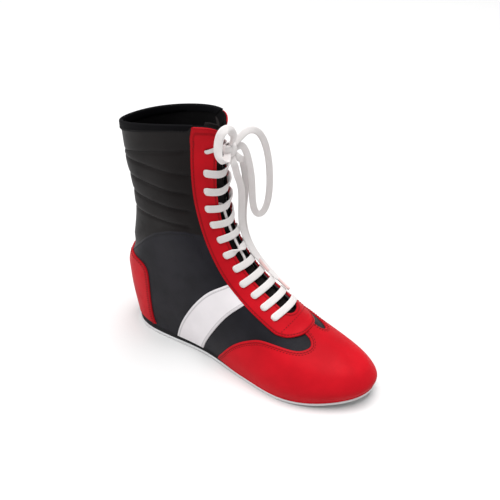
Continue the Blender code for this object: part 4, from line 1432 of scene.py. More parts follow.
@dataclass
class Eyestay(Assembly):
    """The red lace facing: both sides of the throat, joined by a round tab in front, with punched holes."""

    outline: Table = (
        (-16.6, 0.0), (-16.2, 7.0), (-14.6, 13.5), (-11.0, 20.0), (-5.8, 26.4), (0.8, 30.4), (10.0, 32.2),
        (40.0, 32.2), (75.0, 31.0), (103.0, 30.0), (140.0, 31.2), (165.0, 32.1), (182.0, 33.0),
        (192.0, 33.2), (198.0, 33.2), (201.0, 34.8), (203.2, 34.8), (205.2, 33.8), (207.2, 32.3),
        (210.0, 31.0),
    )
    hole_reaches: tuple[float, ...] = (21.0, 20.8, 19.1, 20.0, 16.5, 17.7, 17.1, 19.3, 20.6, 19.3, 19.1, 18.4)
    hole_first: float = 16.4
    hole_pitch: float = 14.4
    hole_growth: float = 0.16
    hole_last_extra: float = 3.1
    inner_rise: float = 4.5
    inner_throat: float = 15.0
    hole_radius: float = 2.1
    bridge: float = 6.5
    tab_seam: float = 1.2
    edge_stitch: float = 2.4
    throat_stitch: float = 2.3
    panel: SewnPanel = field(
        default_factory=lambda: SewnPanel("eyestay_leather", "red_leather", Slot.RED, ("eyestay",))
    )

    def hole_places(self) -> Array:
        """Places of the outer holes along the throat, a little farther apart each time.

        Returns:
            Millimetres along the ridge, lowest first.
        """
        k = np.arange(len(self.hole_reaches))
        places = self.hole_first + self.hole_pitch * k + self.hole_growth * k * (k - 1)
        places[-1] += self.hole_last_extra
        return places

    def inner_shift(self, number: Array) -> Array:
        """How much higher the inner holes sit than the outer ones: only the four below the top one do."""
        return self.inner_rise * ((number >= 7) & (number < len(self.hole_reaches) - 1))

    def raised(self, place: Array) -> Array:
        """Lift of the tab, which lies on the toe cap's strip."""
        return 1.0 * (1.0 - ramp(-16.0, -5.0, place))

    def build(self) -> Piece:
        """Cuts the facing out of the chart round the throat.

        Depth is the least of the distances to its outline, to the throat (a line with a round end), to the
        collar and to the rims of the holes, all in the chart's millimetres.

        Returns:
            The piece.
        """
        rim = smooth_line(np.array(self.outline), 240)
        polygon = np.vstack([rim, [(230.0, -5.0), (-16.6, -5.0)]])
        place = np.arange(-18.4, self.chart.length + 0.01, 1.15)
        place = np.append(place[place < self.chart.length - 0.3], self.chart.length)
        near = [np.linspace(0.0, 8.0, 6), np.arange(8.6, 12.0, 0.6), np.arange(12.2, 18.0, 1.2)]
        far = [np.arange(18.4, 24.2, 0.7), np.arange(25.0, 28.5, 1.2), np.arange(29.0, 37.5, 0.7)]
        reach = np.concatenate(near + far)
        grid_p, grid_r = np.meshgrid(place, reach, indexing="ij")
        flat = np.column_stack([grid_p.ravel(), grid_r.ravel()])
        outer = signed_depth(flat, rim, inside_polygon(flat[:, 0], flat[:, 1], polygon))
        half = self.last.throat_half
        places = self.hole_places()
        u, v = self.chart.uv(grid_p, -grid_r)
        sides = []
        for side, edge, lift in ((-1.0, half, 0.0), (1.0, self.inner_throat, 1.0)):
            bend = np.minimum(flat[:, 0] - half - self.bridge, 0.0)
            throat = np.hypot(bend, flat[:, 1] * half / edge) - half
            shade = np.minimum(np.minimum(outer, throat), self.chart.length - flat[:, 0] + 0.05)
            rows = places + lift * self.inner_shift(np.arange(len(places)))
            holes = [np.hypot(flat[:, 0] - p, flat[:, 1] - r) for p, r in zip(rows, self.hole_reaches)]
            depth = np.minimum(shade, np.min(holes, axis=0) - self.hole_radius)
            sides.append(Sheet.grid(-side * u, v, depth, shade, self.raised(grid_p)).cut())
        self._stitch(rim)
        return self.panel.build(self.last, self.wardrobe, sides[0].beside(sides[1]).welded(self.last))

    def _stitch(self, rim: Array) -> None:
        """Rows inside the outer edge and the throat's edge, and the seam across the tab.

        Args:
            rim: Outline of the facing in the chart.
        """
        run = unit(np.gradient(rim, axis=0))
        inner = rim + np.column_stack([run[:, 1], -run[:, 0]]) * self.edge_stitch
        inner = inner[(inner[:, 0] < self.chart.length - 5.0) & (inner[:, 1] > 0.3)]
        t = np.linspace(0.12, 0.5 * np.pi, 14)
        gap = self.last.throat_half + self.throat_stitch
        middle = self.last.throat_half + self.bridge
        bend = np.column_stack([middle - gap * np.cos(t), gap * np.sin(t)])
        straight = np.arange(middle + 2.0, self.chart.length - 5.0, 3.0)
        straight = np.column_stack([straight, np.full(len(straight), gap)])
        edge = np.vstack([bend, straight])
        seam_reach = np.linspace(0.0, 27.0, 24)
        seam = np.column_stack([np.full(len(seam_reach), self.tab_seam), seam_reach])
        for side, wide in ((-1.0, 1.0), (1.0, (self.inner_throat + self.throat_stitch) / gap)):
            for line in (inner, edge * np.array([1.0, wide]), seam):
                u, v = self.chart.uv(line[:, 0], side * line[:, 1])
                self.thread.add("red_thread", *self.panel.line(self.last, u, v, self.raised(line[:, 0])))


@dataclass
class HeelCounter(Assembly):
    """The red counter round the heel, with a front edge that waves up from the sole."""

    edge: Table = (
        (10.56, -1.0), (10.68, 3.5), (10.85, 9.0), (11.0, 26.0), (11.1, 50.0), (11.33, 71.0),
        (11.75, 79.5), (12.3, 83.5), (13.2, 86.5), (14.1, 88.5), (15.0, 89.0),
    )
    foot: float = 0.07
    edge_scale: tuple[float, float] = (18.0, 1.0)
    stitch_rows: tuple[float, ...] = (2.3, 4.3)
    panel: SewnPanel = field(
        default_factory=lambda: SewnPanel("heel_counter_leather", "red_leather", Slot.RED, ("heel_counter",))
    )

    def build(self) -> Piece:
        """Cuts the counter out of the form below its edge. Depth is the distance to the edge in space.

        Returns:
            The piece.
        """
        scale = np.array(self.edge_scale)
        table = smooth_line(np.array(self.edge) * scale, 220) / scale
        line_u, line_v = table[:, 0], self.last.v_at_rise(table[:, 0], table[:, 1])
        u = np.linspace(10.4, self.last.half, 118)
        v = np.linspace(self.foot, 1.5, 64)
        grid_u, grid_v = np.meshgrid(u, v, indexing="ij")
        points = self.last.form(grid_u, grid_v)
        start = np.linalg.norm(points[:, :1] - self.last.form(u[:, None], 0.0), axis=2)
        rise = start + row_lengths(points)
        shape = np.vstack([table, [(16.0, 89.0), (16.0, -1.0)]])
        inside = inside_polygon(grid_u.ravel(), rise.ravel(), shape)
        line = np.vstack([self.last.form(line_u, line_v), self.last.form(-line_u[::-1], line_v[::-1])])
        depth = signed_depth(points, line, inside)
        sheet = Sheet.grid(grid_u, grid_v, depth).cut().mirrored().welded(self.last)
        keep = table[:, 1] > 3.0
        self.panel.stitch_edge(self.last, self.thread, line_u[keep], line_v[keep], self.stitch_rows)
        return self.panel.build(self.last, self.wardrobe, sheet)


@dataclass
class SideBand(Assembly):
    """A plain white band that leans forward from the sole to the facing, one on each side."""

    sole: tuple[float, float] = (7.35, 8.95)
    under_facing: tuple[float, float] = (6.35, 7.3)
    facing: float = 33.0
    foot: float = 0.03
    lean: float = 1.25
    stitch_inset: float = 2.2

    def build(self) -> list[Piece]:
        """Makes both bands.

        A band is a grid across and along it. Its lines run from the sole to the facing's edge in even steps,
        and bend forward by a power of the way along.

        Returns:
            The pieces.
        """
        under = np.column_stack(self.chart.uv(np.linspace(10.0, 130.0, 90), -(self.facing - 1.6)))
        across = np.concatenate([[0.0, 0.012, 0.03], np.linspace(0.06, 0.94, 24), [0.97, 0.988, 1.0]])
        along = np.linspace(0.0, 1.0, 84)
        start = self.sole[0] + (self.sole[1] - self.sole[0]) * across
        end = self.under_facing[0] + (self.under_facing[1] - self.under_facing[0]) * across
        end_v = np.interp(end, under[:, 0], under[:, 1])
        u = start[None, :] + (end - start)[None, :] * (along**self.lean)[:, None]
        v = self.foot + (end_v[None, :] - self.foot) * along[:, None]
        run = row_lengths(self.last.form(u, v))
        depth = np.minimum(run, run[:, -1:] - run)
        pieces = []
        for name, side in (("side_band_outer", 1.0), ("side_band_inner", -1.0)):
            panel = SewnPanel(name + "_leather", "white_leather", Slot.WHITE, (name,), lift=0.25, thick=0.75)
            pieces.append(panel.build(self.last, self.wardrobe, Sheet.grid(side * u, v, depth)))
            for inset in (np.full(len(run), self.stitch_inset), run[:, -1] - self.stitch_inset):
                place = np.array([np.interp(length, row, across) for length, row in zip(inset, run)])
                row_u = np.array([np.interp(p, across, line) for p, line in zip(place, u)])
                row_v = np.array([np.interp(p, across, line) for p, line in zip(place, v)])
                self.thread.add("white_thread", *panel.line(self.last, side * row_u[2:-3], row_v[2:-3]))
        return pieces


@dataclass
class CollarBinding(Assembly):
    """Black tape folded over the collar's rim, from facing to facing round the heel."""

    width: float = 7.0
    thick: float = 1.0
    start: float = 12.2

    def build(self) -> Piece:
        """Carries the tape's profile round the rim.

        The profile runs up the outside, over the rim in a half circle, and down the inside. Its back lies on
        the wall.

        Returns:
            The piece.
        """
        u = np.linspace(self.start, self.last.loop - self.start, 260)
        rim = self.last.form(u, self.last.top)
        out = unit(self.last.normals(u, np.full(len(u), self.last.top - 0.05)) * np.array([1.0, 1.0, 0.0]))
        up = unit(rim - self.last.form(u, np.full(len(u), self.last.top - 0.12)))
        middle = -0.5 * self.last.wall
        half = 0.5 * self.last.wall + self.thick
        turn = np.linspace(0.0, np.pi, 13)
        low = -self.width
        outside = [(half * 0.82, low), (half + 0.05, low + 0.7), (half + 0.15, 0.5 * low)]
        over = np.column_stack([half * np.cos(turn), 0.3 + half * np.sin(turn)])
        inside = [(-half, 0.5 * low), (-half, low + 0.7), (-half * 0.7, low)]
        shape = np.vstack([outside, over, inside])
        points = rim[:, None] + out[:, None] * (shape[None, :, :1] + middle)
        points = points + up[:, None] * shape[None, :, 1:]
        rings, sides = points.shape[:2]
        ends = np.stack([points[0].mean(0), points[-1].mean(0)])
        flat = np.concatenate([points.reshape(-1, 3), ends])
        tri = tube_triangles(rings, sides)
        piece = mesh_piece("collar_binding_tape", flat, tri, [self.wardrobe["binding_tape"]])
        self.thread.add("black_thread", rim + out * (half + middle + 0.1) - up * (self.width - 1.5), out)
        return dress(piece, Slot.BINDING, "collar_binding")


@dataclass
class Tongue(Assembly):
    """The padded black tongue behind the throat, a little higher than the collar."""

    gap: float = 1.2
    thick: float = 2.4
    over_top: float = 14.0
    root: float = -22.0
    half_widths: Table = ((-22.0, 14.0), (0.0, 19.5), (40.0, 23.0))

    def build(self) -> Piece:
        """Makes the tongue on a grid of places and reaches under the wall.

        It is thickest in the middle and thins to its edges by a round arch, and its top rows rise straight up
        and narrow to round corners.

        Returns:
            The piece.
        """
        place = np.linspace(self.root, self.chart.length - 6.0, 110)
        across = np.sin(np.linspace(-0.5, 0.5, 41) * np.pi)
        half = np.interp(place, *np.array(self.half_widths).T)
        grid_p = np.repeat(place[:, None], len(across), 1)
        grid_r = half[:, None] * across[None, :]
        u, v = self.chart.uv(grid_p, grid_r)
        v = np.where(np.abs(grid_r) < 1e-6, float(self.last.top), v)
        base, out = self.last.form(u, v), self.last.normals(u, v)
        pad = np.sqrt(np.clip(1.0 - across**2, 0.0, 1.0))[None, :] * np.ones((len(place), 1))
        ends = ramp(self.root, self.root + 4.0, place)[:, None]
        front = base - out * (self.last.wall + self.gap)
        back = front - out * (0.5 + self.thick * pad * ends)[..., None]
        rise = np.linspace(0.0, 1.0, 12)[1:]
        narrow = np.sqrt(np.clip(1.0 - (0.72 * rise**1.6) ** 2, 0.0, 1.0))
        sheets = []
        for sheet in (front, back):
            top = np.repeat(sheet[-1][None], len(rise), 0)
            centre = top[:, :, 1].mean(1, keepdims=True)
            top[:, :, 1] = centre + (top[:, :, 1] - centre) * narrow[:, None]
            top[:, :, 2] += self.over_top * rise[:, None]
            sheets.append(np.concatenate([sheet, top]))
        tri = grid_triangles(*sheets[0].shape[:2])
        points, tri = closed_shell(sheets[0].reshape(-1, 3), sheets[1].reshape(-1, 3), tri)
        piece = mesh_piece("tongue_pad", points, tri, [self.wardrobe["tongue_cloth"]])
        return dress(piece, Slot.TONGUE, "tongue")


@dataclass
class Sole(Assembly):
    """Thin white outsole with a rounded edge, and the black wedge between it and the upper."""

    outsole_step: float = 1.6
    midsole_step: float = 0.8
    arch_lift: float = 1.4

    def _outline(self) -> tuple[Array, Array]:
        """The sole edge from above, round from the toe, and the level direction out of it.

        Returns:
            Points and directions, one in each row.
        """
        u = np.linspace(0.0, self.last.loop, 361)[:-1]
        line = self.last.form(u, 0.0)[:, :2]
        run = np.roll(line, -1, 0) - np.roll(line, 1, 0)
        side = unit(np.column_stack([-run[:, 1], run[:, 0]]))
        outward = np.sign(((line - line.mean(0)) * side).sum())
        return line, side * outward

    def _plate(
        self, name: str, rings: list[tuple[float, Array]], material: Material, tread: Array
    ) -> Piece:
        """A plate inside the outline.

        Rings step out from the outline at heights of their own, and the two flat faces are filled by straight
        lines from the outer to the inner side.

        Args:
            name: Name of the piece.
            rings: A step outwards and the heights round the outline, from the bottom up.
            material: Finish of the piece.
            tread: 1 for the rings whose face is the tread, and else 0.

        Returns:
            The piece.
        """
        line, side = self._outline()
        count = len(line)
        points = np.concatenate([np.column_stack([line + step * side, height]) for step, height in rings])
        ids = ring_numbers(len(rings), count)
        faces = [quad_triangles(ids)]
        left = np.arange(0, count // 2 + 1)
        right = (-left) % count
        for ring, flip in ((0, 1), (len(rings) - 1, -1)):
            i, j = ids[ring, left], ids[ring, right]
            first = np.stack([i[:-1], i[1:], j[1:]], -1)[:-1]
            second = np.stack([i[:-1], j[1:], j[:-1]], -1)[1:]
            faces.append(np.concatenate([first, second])[:, ::flip])
        return mesh_piece(name, points, np.concatenate(faces), [material], tread=np.repeat(tread, count))

    def build(self) -> list[Piece]:
        """Makes both plates.

        Returns:
            The pieces.
        """
        line, _ = self._outline()
        x = line[:, 0]
        lift = self.last.toe_lift(x)
        arch = self.arch_lift * ramp(88.0, 112.0, x) * (1.0 - ramp(140.0, 166.0, x))
        high = lift + self.last.outsole
        rings = [(-1.0, lift + arch), (0.3, lift + arch), (1.05, lift + 0.5 + 0.7 * arch)]
        rings += [(1.5, lift + 1.2 + 0.3 * arch), (self.outsole_step, lift + 1.9)]
        rings += [(1.5, high - 0.5), (1.1, high - 0.1), (0.4, high)]
        tread = np.where(np.arange(len(rings)) < 2, 1.0, 0.0)
        outsole = self._plate("outsole_rubber", rings, self.wardrobe["sole_rubber"], tread)
        low = high + 0.02
        top = high + self.last.gap + self.last.midsole_thickness(x) + 0.25
        body = top - low
        step = self.midsole_step
        wedge = [(0.1, low), (0.6, low + 0.15), (step, low + 0.3 * body), (step, low + 0.7 * body)]
        wedge += [(0.6, top - 0.12 * body), (0.1, top), (-2.2, top)]
        plain = np.zeros(len(wedge))
        midsole = self._plate("midsole_wedge", wedge, self.wardrobe["midsole_rubber"], plain)
        return [dress(outsole, Slot.SOLE, "outsole"), dress(midsole, Slot.MIDSOLE, "midsole")]


# Laces


@dataclass
class Lace:
    """Flat woven lace: an oval section carried along a line, its flat side turned to a given direction."""

    width: float = 6.8
    thick: float = 1.7
    sides: int = 18

    def sweep(
        self, line: Array, facing: Array, width: Array | float = 1.0, thick: Array | float = 1.0
    ) -> Swept:
        """Points, triangles and weave places of a lace along a line.

        Each ring is a rounded oblong: the cosine and sine of an angle, each to a power below 1, times half
        the width and half the thickness.

        Args:
            line: Points of the middle of the lace.
            facing: Direction of its flat side at each point.
            width: Share of the full width at each point.
            thick: Share of the full thickness at each point.

        Returns:
            Points, triangles, and millimetres along and across the lace at each point.
        """
        count = len(line)
        width = np.broadcast_to(np.asarray(width, float), count)
        thick = np.broadcast_to(np.asarray(thick, float), count)
        run = unit(np.gradient(line, axis=0))
        up = unit(facing - run * np.einsum("ij,ij->i", facing, run)[:, None])
        side = np.cross(run, up)
        angle = np.arange(self.sides) * 2.0 * np.pi / self.sides
        y = np.sign(np.cos(angle)) * np.abs(np.cos(angle)) ** 0.6 * 0.5 * self.width
        z = np.sign(np.sin(angle)) * np.abs(np.sin(angle)) ** 0.85 * 0.5 * self.thick
        across = y[None, :] * width[:, None]
        through = z[None, :] * thick[:, None]
        points = line[:, None] + side[:, None] * across[..., None] + up[:, None] * through[..., None]
        along = np.repeat(line_length(line)[:, None], self.sides, 1)
        weave = np.stack([along, across, np.zeros(across.shape)], -1).reshape(-1, 3)
        points = np.concatenate([points.reshape(-1, 3), line[:1], line[-1:]])
        weave = np.concatenate([weave, [[0.0, 0.0, 0.0], [along[-1, 0], 0.0, 0.0]]])
        return points, tube_triangles(count, self.sides), weave


def join(parts: list[Swept]) -> Swept:
    """Several swept laces as one.

    Args:
        parts: Points, triangles and weave places of each.

    Returns:
        Points, triangles and weave places of all.
    """
    counts = np.cumsum([0] + [len(p[0]) for p in parts[:-1]])
    tri = np.concatenate([p[1] + shift for p, shift in zip(parts, counts)])
    return np.concatenate([p[0] for p in parts]), tri, np.concatenate([p[2] for p in parts])


@dataclass
class LaceBars(Assembly):
    """Straight bars from hole to hole, a strand that runs up under some, and the risers behind the facing."""

    lace: Lace = field(default_factory=Lace)
    strand: Table = (
        (75.9, -19.0, -2.7), (75.4, -13.0, -2.7), (75.0, -6.0, -1.6), (78.5, -1.6, -0.8),
        (88.0, -1.0, -0.5), (105.0, -1.4, -0.2), (122.0, -2.6, -0.5), (136.0, -3.9, -0.8),
        (140.4, -7.0, -1.6), (140.8, -13.0, -2.7), (140.6, -19.0, -2.7),
    )
    half_bar: Table = (
        (0.0, 1.9), (4.5, 2.1), (9.0, 2.5), (14.0, 2.55), (18.5, 2.75), (21.0, 2.5), (22.3, 1.2),
        (22.4, -0.8), (21.4, -2.0),
    )
    twisted_bar: int = 5
    slack_from: int = 7
    top_bar: int = 11
    bar_width: float = 1.1
    top_width: float = 0.55
    top_rise: float = 3.0
    strand_size: tuple[float, float] = (0.45, 0.8)
    riser_size: tuple[float, float] = (0.7, 0.6)
    riser_lift: float = -2.7
    riser_reach: tuple[float, ...] = (19.0, 15.0, 13.0, 15.0, 19.0)

    def _bar(self, stay: Eyestay, number: int) -> Swept:
        """One bar.

        It comes up out of the outer hole, lies over the facing and the throat, and goes down the inner hole.
        It ends in a round tip at each hole, rises to the inner hole, and hangs between them by a cosine.

        Args:
            stay: The facing, which gives the holes.
            number: Number of the bar from the toe.

        Returns:
            Points, triangles and weave places.
        """
        table = np.array(self.half_bar)
        both = np.vstack([table[:0:-1] * np.array([-1.0, 1.0]), table])
        route = smooth_line(both, 61)
        hole = stay.hole_reaches[number]
        share, lift = route[:, 0] / 21.0, route[:, 1]
        reach = share * hole
        slack = (3.2 if number >= self.slack_from else 1.5) + 0.3 * math.sin(1.7 * number)
        if number == self.top_bar:
            slack = -self.top_rise
        rise = float(stay.inner_shift(np.array(number))) * ramp(-0.3, 0.9, share)
        along = stay.hole_places()[number] + rise - slack * np.cos(np.clip(share, -1.0, 1.0) * 0.5 * np.pi)
        u, v = self.chart.uv(along, reach)
        line = self.last.skin(u, v, lift)
        out = self.last.normals(u, v)
        upward = self.chart.over(along + 0.5, reach, 0.0) - self.chart.over(along - 0.5, reach, 0.0)
        sideways = unit(np.cross(upward, out))
        outward = sideways * np.sign(sideways[:, 1] * reach + 1e-9)[:, None]
        end = np.abs(np.linspace(-1.0, 1.0, len(reach)))
        dive = ramp(0.86, 0.97, end)[:, None]
        facing = out * (1.0 - dive) + outward * dive
        roll = np.zeros(len(reach))
        if number == self.twisted_bar:
            roll = np.pi * ramp(-13.0, 5.0, reach)
        elif number > 7:
            roll = 0.75 * ramp(-2.0, 13.0, reach) * (1.0 - ramp(15.0, 19.0, reach))
        run = unit(np.gradient(line, axis=0))
        facing = unit(facing - run * np.einsum("ij,ij->i", facing, run)[:, None])
        facing = facing * np.cos(roll)[:, None] + np.cross(run, facing) * np.sin(roll)[:, None]
        pinch = self.bar_width * np.sqrt(1.0 - 0.84 * np.clip((end - 0.75) / 0.15, 0.0, 1.0) ** 2)
        pinch = pinch * (1.0 - 0.35 * np.sin(roll) ** 2)
        swell = 1.0 + 0.35 * ramp(0.8, 0.92, end) + 0.5 * np.sin(roll) ** 2
        if number == self.top_bar:
            pinch = pinch * self.top_width
        return self.lace.sweep(line, facing, pinch, swell)

    def _laid(self, route: Array, lift: Array | float, size: tuple[float, float]) -> Swept:
        """A run of lace along places of the chart, with a lift and shares of its width and thickness."""
        u, v = self.chart.uv(route[:, 0], route[:, 1])
        return self.lace.sweep(self.last.skin(u, v, lift), self.last.normals(u, v), *size)

    def build(self, stay: Eyestay) -> Piece:
        """Joins all bars, the strand and the risers into one piece.

        Args:
            stay: The facing, which gives the holes.

        Returns:
            The piece.
        """
        places = stay.hole_places()
        parts = [self._bar(stay, k) for k in range(len(places))]
        route = smooth_line(np.array(self.strand), 120)
        parts.append(self._laid(route, route[:, 2], self.strand_size))
        for k, (low, high) in enumerate(zip(places[:-1], places[1:])):
            rise = np.interp(np.arange(5), [0, 1, 3, 4], [low, low + 3.0, high - 3.0, high])
            side = -1.0 if k % 2 == 0 else 1.0
            route = smooth_line(np.column_stack([rise, side * np.array(self.riser_reach)]), 30)
            parts.append(self._laid(route, self.riser_lift, self.riser_size))
        points, tri, weave = join(parts)
        piece = mesh_piece("lace_bars_woven", points, tri, [self.wardrobe["lace_cotton"]], weave=weave)
        return dress(piece, Slot.LACE, "lace_bars")


@dataclass
class Bow(Assembly):
    """The knot on the top bar with its two loops and two ends, on the routes that the solids take."""

    lace: Lace = field(default_factory=Lace)
    knot_centre: tuple[float, float, float] = (127.9, -5.0, 231.5)
    knot_radii: tuple[float, float, float] = (6.0, 8.6, 8.4)
    bow_exits: Table = ((0.45, 0.6, 0.65), (0.6, 0.75, -0.1))
    small_exits: Table = ((0.4, -0.1, 0.9), (0.45, -0.85, -0.25))
    long_exit: tuple[float, ...] = (0.6, 0.45, -0.65)
    short_exit: tuple[float, ...] = (0.55, -0.15, -0.8)
    bow_loop: Table = (
        (137.0, 12.5, 246.0), (142.5, 22.0, 241.0), (146.5, 29.0, 223.0), (148.0, 32.5, 199.0),
        (147.5, 33.0, 176.0), (144.5, 31.0, 158.5), (140.0, 26.5, 153.0), (137.0, 22.0, 161.0),
        (137.0, 18.5, 180.0), (138.0, 14.5, 203.0),
    )
    small_loop: Table = (
        (131.5, -10.5, 253.5), (128.5, -16.0, 253.0), (126.8, -19.5, 247.0), (126.8, -22.0, 239.5),
        (128.8, -24.0, 232.0), (133.0, -23.6, 227.3),
    )
    end_long: Table = (
        (176.0, 9.5, 16.5), (158.0, 13.0, 18.0), (134.0, 16.5, 15.5), (110.0, 19.5, 10.5),
        (88.0, 20.5, 7.0), (66.0, 20.0, 6.1), (44.0, 17.5, 6.1), (26.0, 15.0, 6.1),
    )
    end_short: Table = (
        (173.0, 0.5, 14.8), (155.0, 3.5, 15.0), (132.0, 7.0, 12.0), (112.0, 8.5, 8.0), (96.0, 9.0, 6.3),
        (82.0, 8.6, 6.1), (68.0, 8.6, 6.1), (54.0, 8.4, 6.1),
    )
    knot_turns: tuple[tuple[tuple[float, ...], tuple[float, ...], float, float, float], ...] = (
        ((0.0, 0.25, 0.97), (1.0, 0.0, 0.0), 6.6, 4.9, 1.1),
        ((0.0, 0.92, -0.4), (1.0, 0.1, 0.0), 6.9, 4.4, 0.95),
        ((0.0, 0.9, 0.45), (1.0, -0.1, 0.0), 6.9, 3.9, 0.95),
    )
    bow_flat: Table = (
        (0.5, -0.7, 0.5), (0.6, -0.6, 0.4), (0.5, -0.5, 0.2), (0.5, -0.7, 0.3), (0.7, -0.4, 0.3),
    )
    small_flat: Table = (
        (0.2, -0.3, 1.0), (0.3, -0.8, 0.8), (0.3, -0.95, 0.35), (0.2, -0.9, -0.4), (0.2, 0.1, -1.0),
    )
    end_flat: Table = (
        (0.7, -0.6, 0.2), (0.6, -0.7, 0.3), (0.6, -0.4, 0.6), (0.4, 0.1, 0.9),
    )
    small_width: float = 1.25
    aglet_length: float = 15.0
    aglet_radius: float = 1.6
    aglet_steps: int = 16

    def _exit(self, direction: tuple[float, ...]) -> list[Array]:
        """Two points of a lace that leaves the egg-shaped knot square to its surface.

        Args:
            direction: Way out of the knot.

        Returns:
            A point well inside the knot and one outside it.
        """
        normal = unit(np.array(direction))
        radii = np.array(self.knot_radii)
        surface = np.array(self.knot_centre) + radii**2 * normal / np.linalg.norm(radii * normal)
        return [surface - 3.0 * normal, surface + 6.9 * normal]

    def _knot(self) -> Piece:
        """The knot: three closed turns of lace round a core, each an oval in a plane of its own.

        Returns:
            The piece.
        """
        centre = np.array(self.knot_centre)
        parts = []
        angle = np.linspace(0.0, 2.0 * np.pi, 49)
        for first, second, reach, depth, width in self.knot_turns:
            a, b = unit(np.array(first)), unit(np.array(second))
            line = centre + reach * np.cos(angle)[:, None] * a + depth * np.sin(angle)[:, None] * b
            parts.append(self.lace.sweep(line, unit(line - centre), width, 1.15))
        core = np.linspace(-1.0, 1.0, 15)
        line = centre + core[:, None] * np.array([0.0, 6.0, 0.0])
        fat = np.sqrt(np.clip(1.0 - core**2, 0.05, 1.0))
        parts.append(self.lace.sweep(line, np.tile([1.0, 0.0, 0.0], (15, 1)), 1.5 * fat, 4.0 * fat))
        points, tri, weave = join(parts)
        piece = mesh_piece("lace_knot_woven", points, tri, [self.wardrobe["lace_cotton"]], weave=weave)
        return dress(piece, Slot.LACE, "lace_knot")

    def _cord(
        self,
        name: str,
        node: str,
        points: list[Array],
        facing: Table,
        far_end: FarEnd,
        pieces: list[Piece],
        broad: float = 1.0,
    ) -> Piece:
        """One loose run of the lace.

        Args:
            name: Name of the piece.
            node: The solid that it stands for.
            points: Points of its route.
            facing: Directions of its flat side, spread evenly along it.
            far_end: What its far end is. It narrows where that is an aglet.
            pieces: Pieces on it.
            broad: Share of the full width between its ends.

        Returns:
            The piece.
        """
        line = smooth_line(np.array(points), 110)
        share = np.linspace(0.0, 1.0, len(line))
        hints = np.array(facing)
        spread = np.linspace(0.0, 1.0, len(hints))
        flat = np.stack([np.interp(share, spread, column) for column in hints.T], -1)
        width = 1.0 + (broad - 1.0) * np.sin(np.pi * share)
        thick = np.full(len(line), 1.0)
        if far_end is FarEnd.AGLET:
            left = line_length(line)[-1] - line_length(line)
            width = 0.36 + 0.64 * ramp(8.0, 22.0, left)
            thick = 1.35 - 0.35 * ramp(8.0, 22.0, left)
            pieces = pieces + [self._aglet(name + "_aglet", line)]
        solid, tri, weave = self.lace.sweep(line, flat, width, thick)
        piece = mesh_piece(name, solid, tri, [self.wardrobe["lace_cotton"]], weave=weave)
        dress(piece, Slot.LACE, node)
        path = (line - MIDDLE) * MM
        float(line_length(path)[-1])
        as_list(pieces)
        LOG.info("%s: %.0f mm of lace", name, line_length(line)[-1])
        return piece

    def _aglet(self, name: str, line: Array) -> Piece:
        """The hard tip on the last stretch of a lace: a round sleeve that closes to a blunt end.

        Args:
            name: Name of the piece.
            line: Points of the lace.

        Returns:
            The piece.
        """
        count = self.aglet_steps
        left = line_length(line)[-1] - line_length(line)
        steps = np.linspace(self.aglet_length, -0.8, count)
        order = np.argsort(left)
        points = np.stack([np.interp(steps, left[order], column[order]) for column in line.T], -1)
        points[-1] = line[-1] + unit(line[-1] - line[-3]) * 0.8
        sleeve = Lace(width=2.0 * self.aglet_radius, thick=2.0 * self.aglet_radius, sides=14)
        size = np.ones(count)
        size[[0, -1]] = (0.9, 0.55)
        solid, tri, _ = sleeve.sweep(points, np.tile([0.3, -0.6, 0.7], (count, 1)), size, size)
        piece = mesh_piece(name, solid, tri, [self.wardrobe["aglet"]])
        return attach(piece, BODY)

    def build(self) -> list[Piece]:
        """Makes the knot, both loops and both ends.

        Returns:
            The pieces.
        """
        knot = self._knot()
        made = [knot]
        for name, exits, rows, flat, pieces, broad in (
            ("lace_bow", self.bow_exits, self.bow_loop, self.bow_flat, [knot], 1.0),
            ("lace_small", self.small_exits, self.small_loop, self.small_flat, [], self.small_width),
        ):
            route = self._exit(exits[0]) + [np.array(row) for row in rows] + self._exit(exits[1])[::-1]
            made.append(self._cord(name + "_woven", name + "_loop", route, flat, FarEnd.KNOT, pieces, broad))
        for name, node, way, rows in (
            ("lace_long_woven", "lace_end_long", self.long_exit, self.end_long),
            ("lace_short_woven", "lace_end_short", self.short_exit, self.end_short),
        ):
            route = self._exit(way) + list(self.chart.over(*np.array(rows).T))
            made.append(self._cord(name, node, route, self.end_flat, FarEnd.AGLET, []))
        return made


# Setting


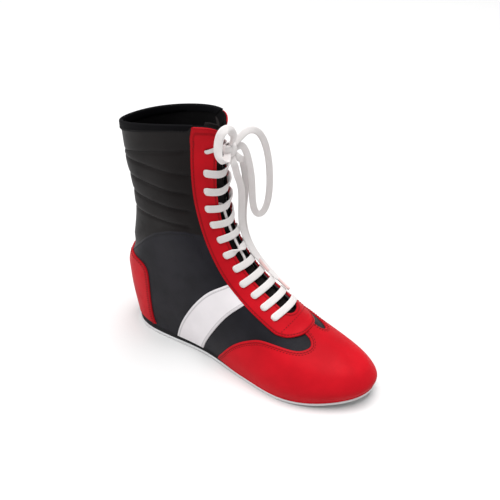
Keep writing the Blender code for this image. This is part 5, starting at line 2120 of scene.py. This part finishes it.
@dataclass(frozen=True)
class Studio:
    """Camera at the photograph's angle, a pale floor and soft light."""

    eye: tuple[float, float, float] = (434.2, -462.8, 480.8)
    target: tuple[float, float, float] = (146.1, 0.0, 126.8)
    lens: float = 47.63
    sensor: float = 36.0
    sky: float = 0.5
    floor_half: float = 6.0
    floor_grey: float = 0.7
    lamps: tuple[tuple[str, tuple[float, ...], float, float, tuple[float, ...]], ...] = (
        ("top", (0.1, 0.2, 4.0), 3.0, 200.0, (0.0, 0.0, 0.1)),
        ("left", (-3.0, -1.4, 1.9), 2.0, 46.0, (0.0, 0.0, 0.12)),
    )

    def camera(self) -> None:
        """The camera, level, looking from the eye to the target."""
        data = bpy.data.cameras.new("camera")
        data.lens = self.lens
        data.sensor_width = self.sensor
        data.dof.use_dof = False
        data.clip_start = 0.01
        camera = bpy.data.objects.new("camera", data)
        eye = Vector((np.array(self.eye) - MIDDLE) * MM)
        camera.location = eye
        look = Vector((np.array(self.target) - MIDDLE) * MM) - eye
        camera.rotation_euler = look.to_track_quat("-Z", "Y").to_euler()
        bpy.context.scene.collection.objects.link(camera)
        bpy.context.scene.camera = camera

    def light(
        self, name: str, place: tuple[float, ...], size: float, power: float, aim: tuple[float, ...]
    ) -> None:
        """A square area light aimed at a point.

        Args:
            name: Name of the lamp.
            place: Where it stands, in metres.
            size: Length of its sides.
            power: Watts.
            aim: Point that it faces.
        """
        data = bpy.data.lights.new(name, "AREA")
        data.size = size
        data.energy = power
        lamp = bpy.data.objects.new(name, data)
        lamp.location = place
        lamp.rotation_euler = (Vector(aim) - Vector(place)).to_track_quat("-Z", "Y").to_euler()
        bpy.context.scene.collection.objects.link(lamp)

    def build(self) -> None:
        """Sets up camera, floor, sky and lamps."""
        self.camera()
        scene = bpy.context.scene
        scene.view_settings.view_transform = "Standard"
        world = bpy.data.worlds.new("soft_sky")
        world.use_nodes = True
        background = world.node_tree.nodes["Background"]
        background.inputs["Color"].default_value = (1.0, 1.0, 1.0, 1.0)
        background.inputs["Strength"].default_value = self.sky
        scene.world = world
        mesh = bpy.data.meshes.new("floor")
        half = self.floor_half
        corners = [(-half, -half, 0.0), (half, -half, 0.0), (half, half, 0.0), (-half, half, 0.0)]
        mesh.from_pydata(corners, [], [(0, 1, 2, 3)])
        mesh.materials.append(Finish("pale_floor", (self.floor_grey,) * 3, 0.8, 0.5).make())
        floor = bpy.data.objects.new("floor", mesh)
        scene.collection.objects.link(floor)
        for lamp in self.lamps:
            self.light(*lamp)


def main() -> None:
    """Loads the frame and builds the boot, piece by piece."""
    logging.basicConfig(level=logging.INFO, format="%(message)s")
    for old in list(bpy.data.objects):
        bpy.data.objects.remove(old, do_unlink=True)
    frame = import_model()
    Studio().build()
    last = Last()
    wardrobe, thread = Wardrobe(), Stitching()
    shared = (last, ThroatChart(last), wardrobe, thread)
    Bow(*shared).build()
    LaceBars(*shared).build(Eyestay(*shared))
    for part in (Sole, Upper, Tongue, ToeCap, Eyestay, HeelCounter, SideBand, CollarBinding):
        part(*shared).build()
    thread.build(wardrobe)
    insole = frame["nodes"]["insole"]
    insole.data.materials.clear()
    insole.data.materials.append(wardrobe["insole_cloth"])


if __name__ == "__main__":
    main()
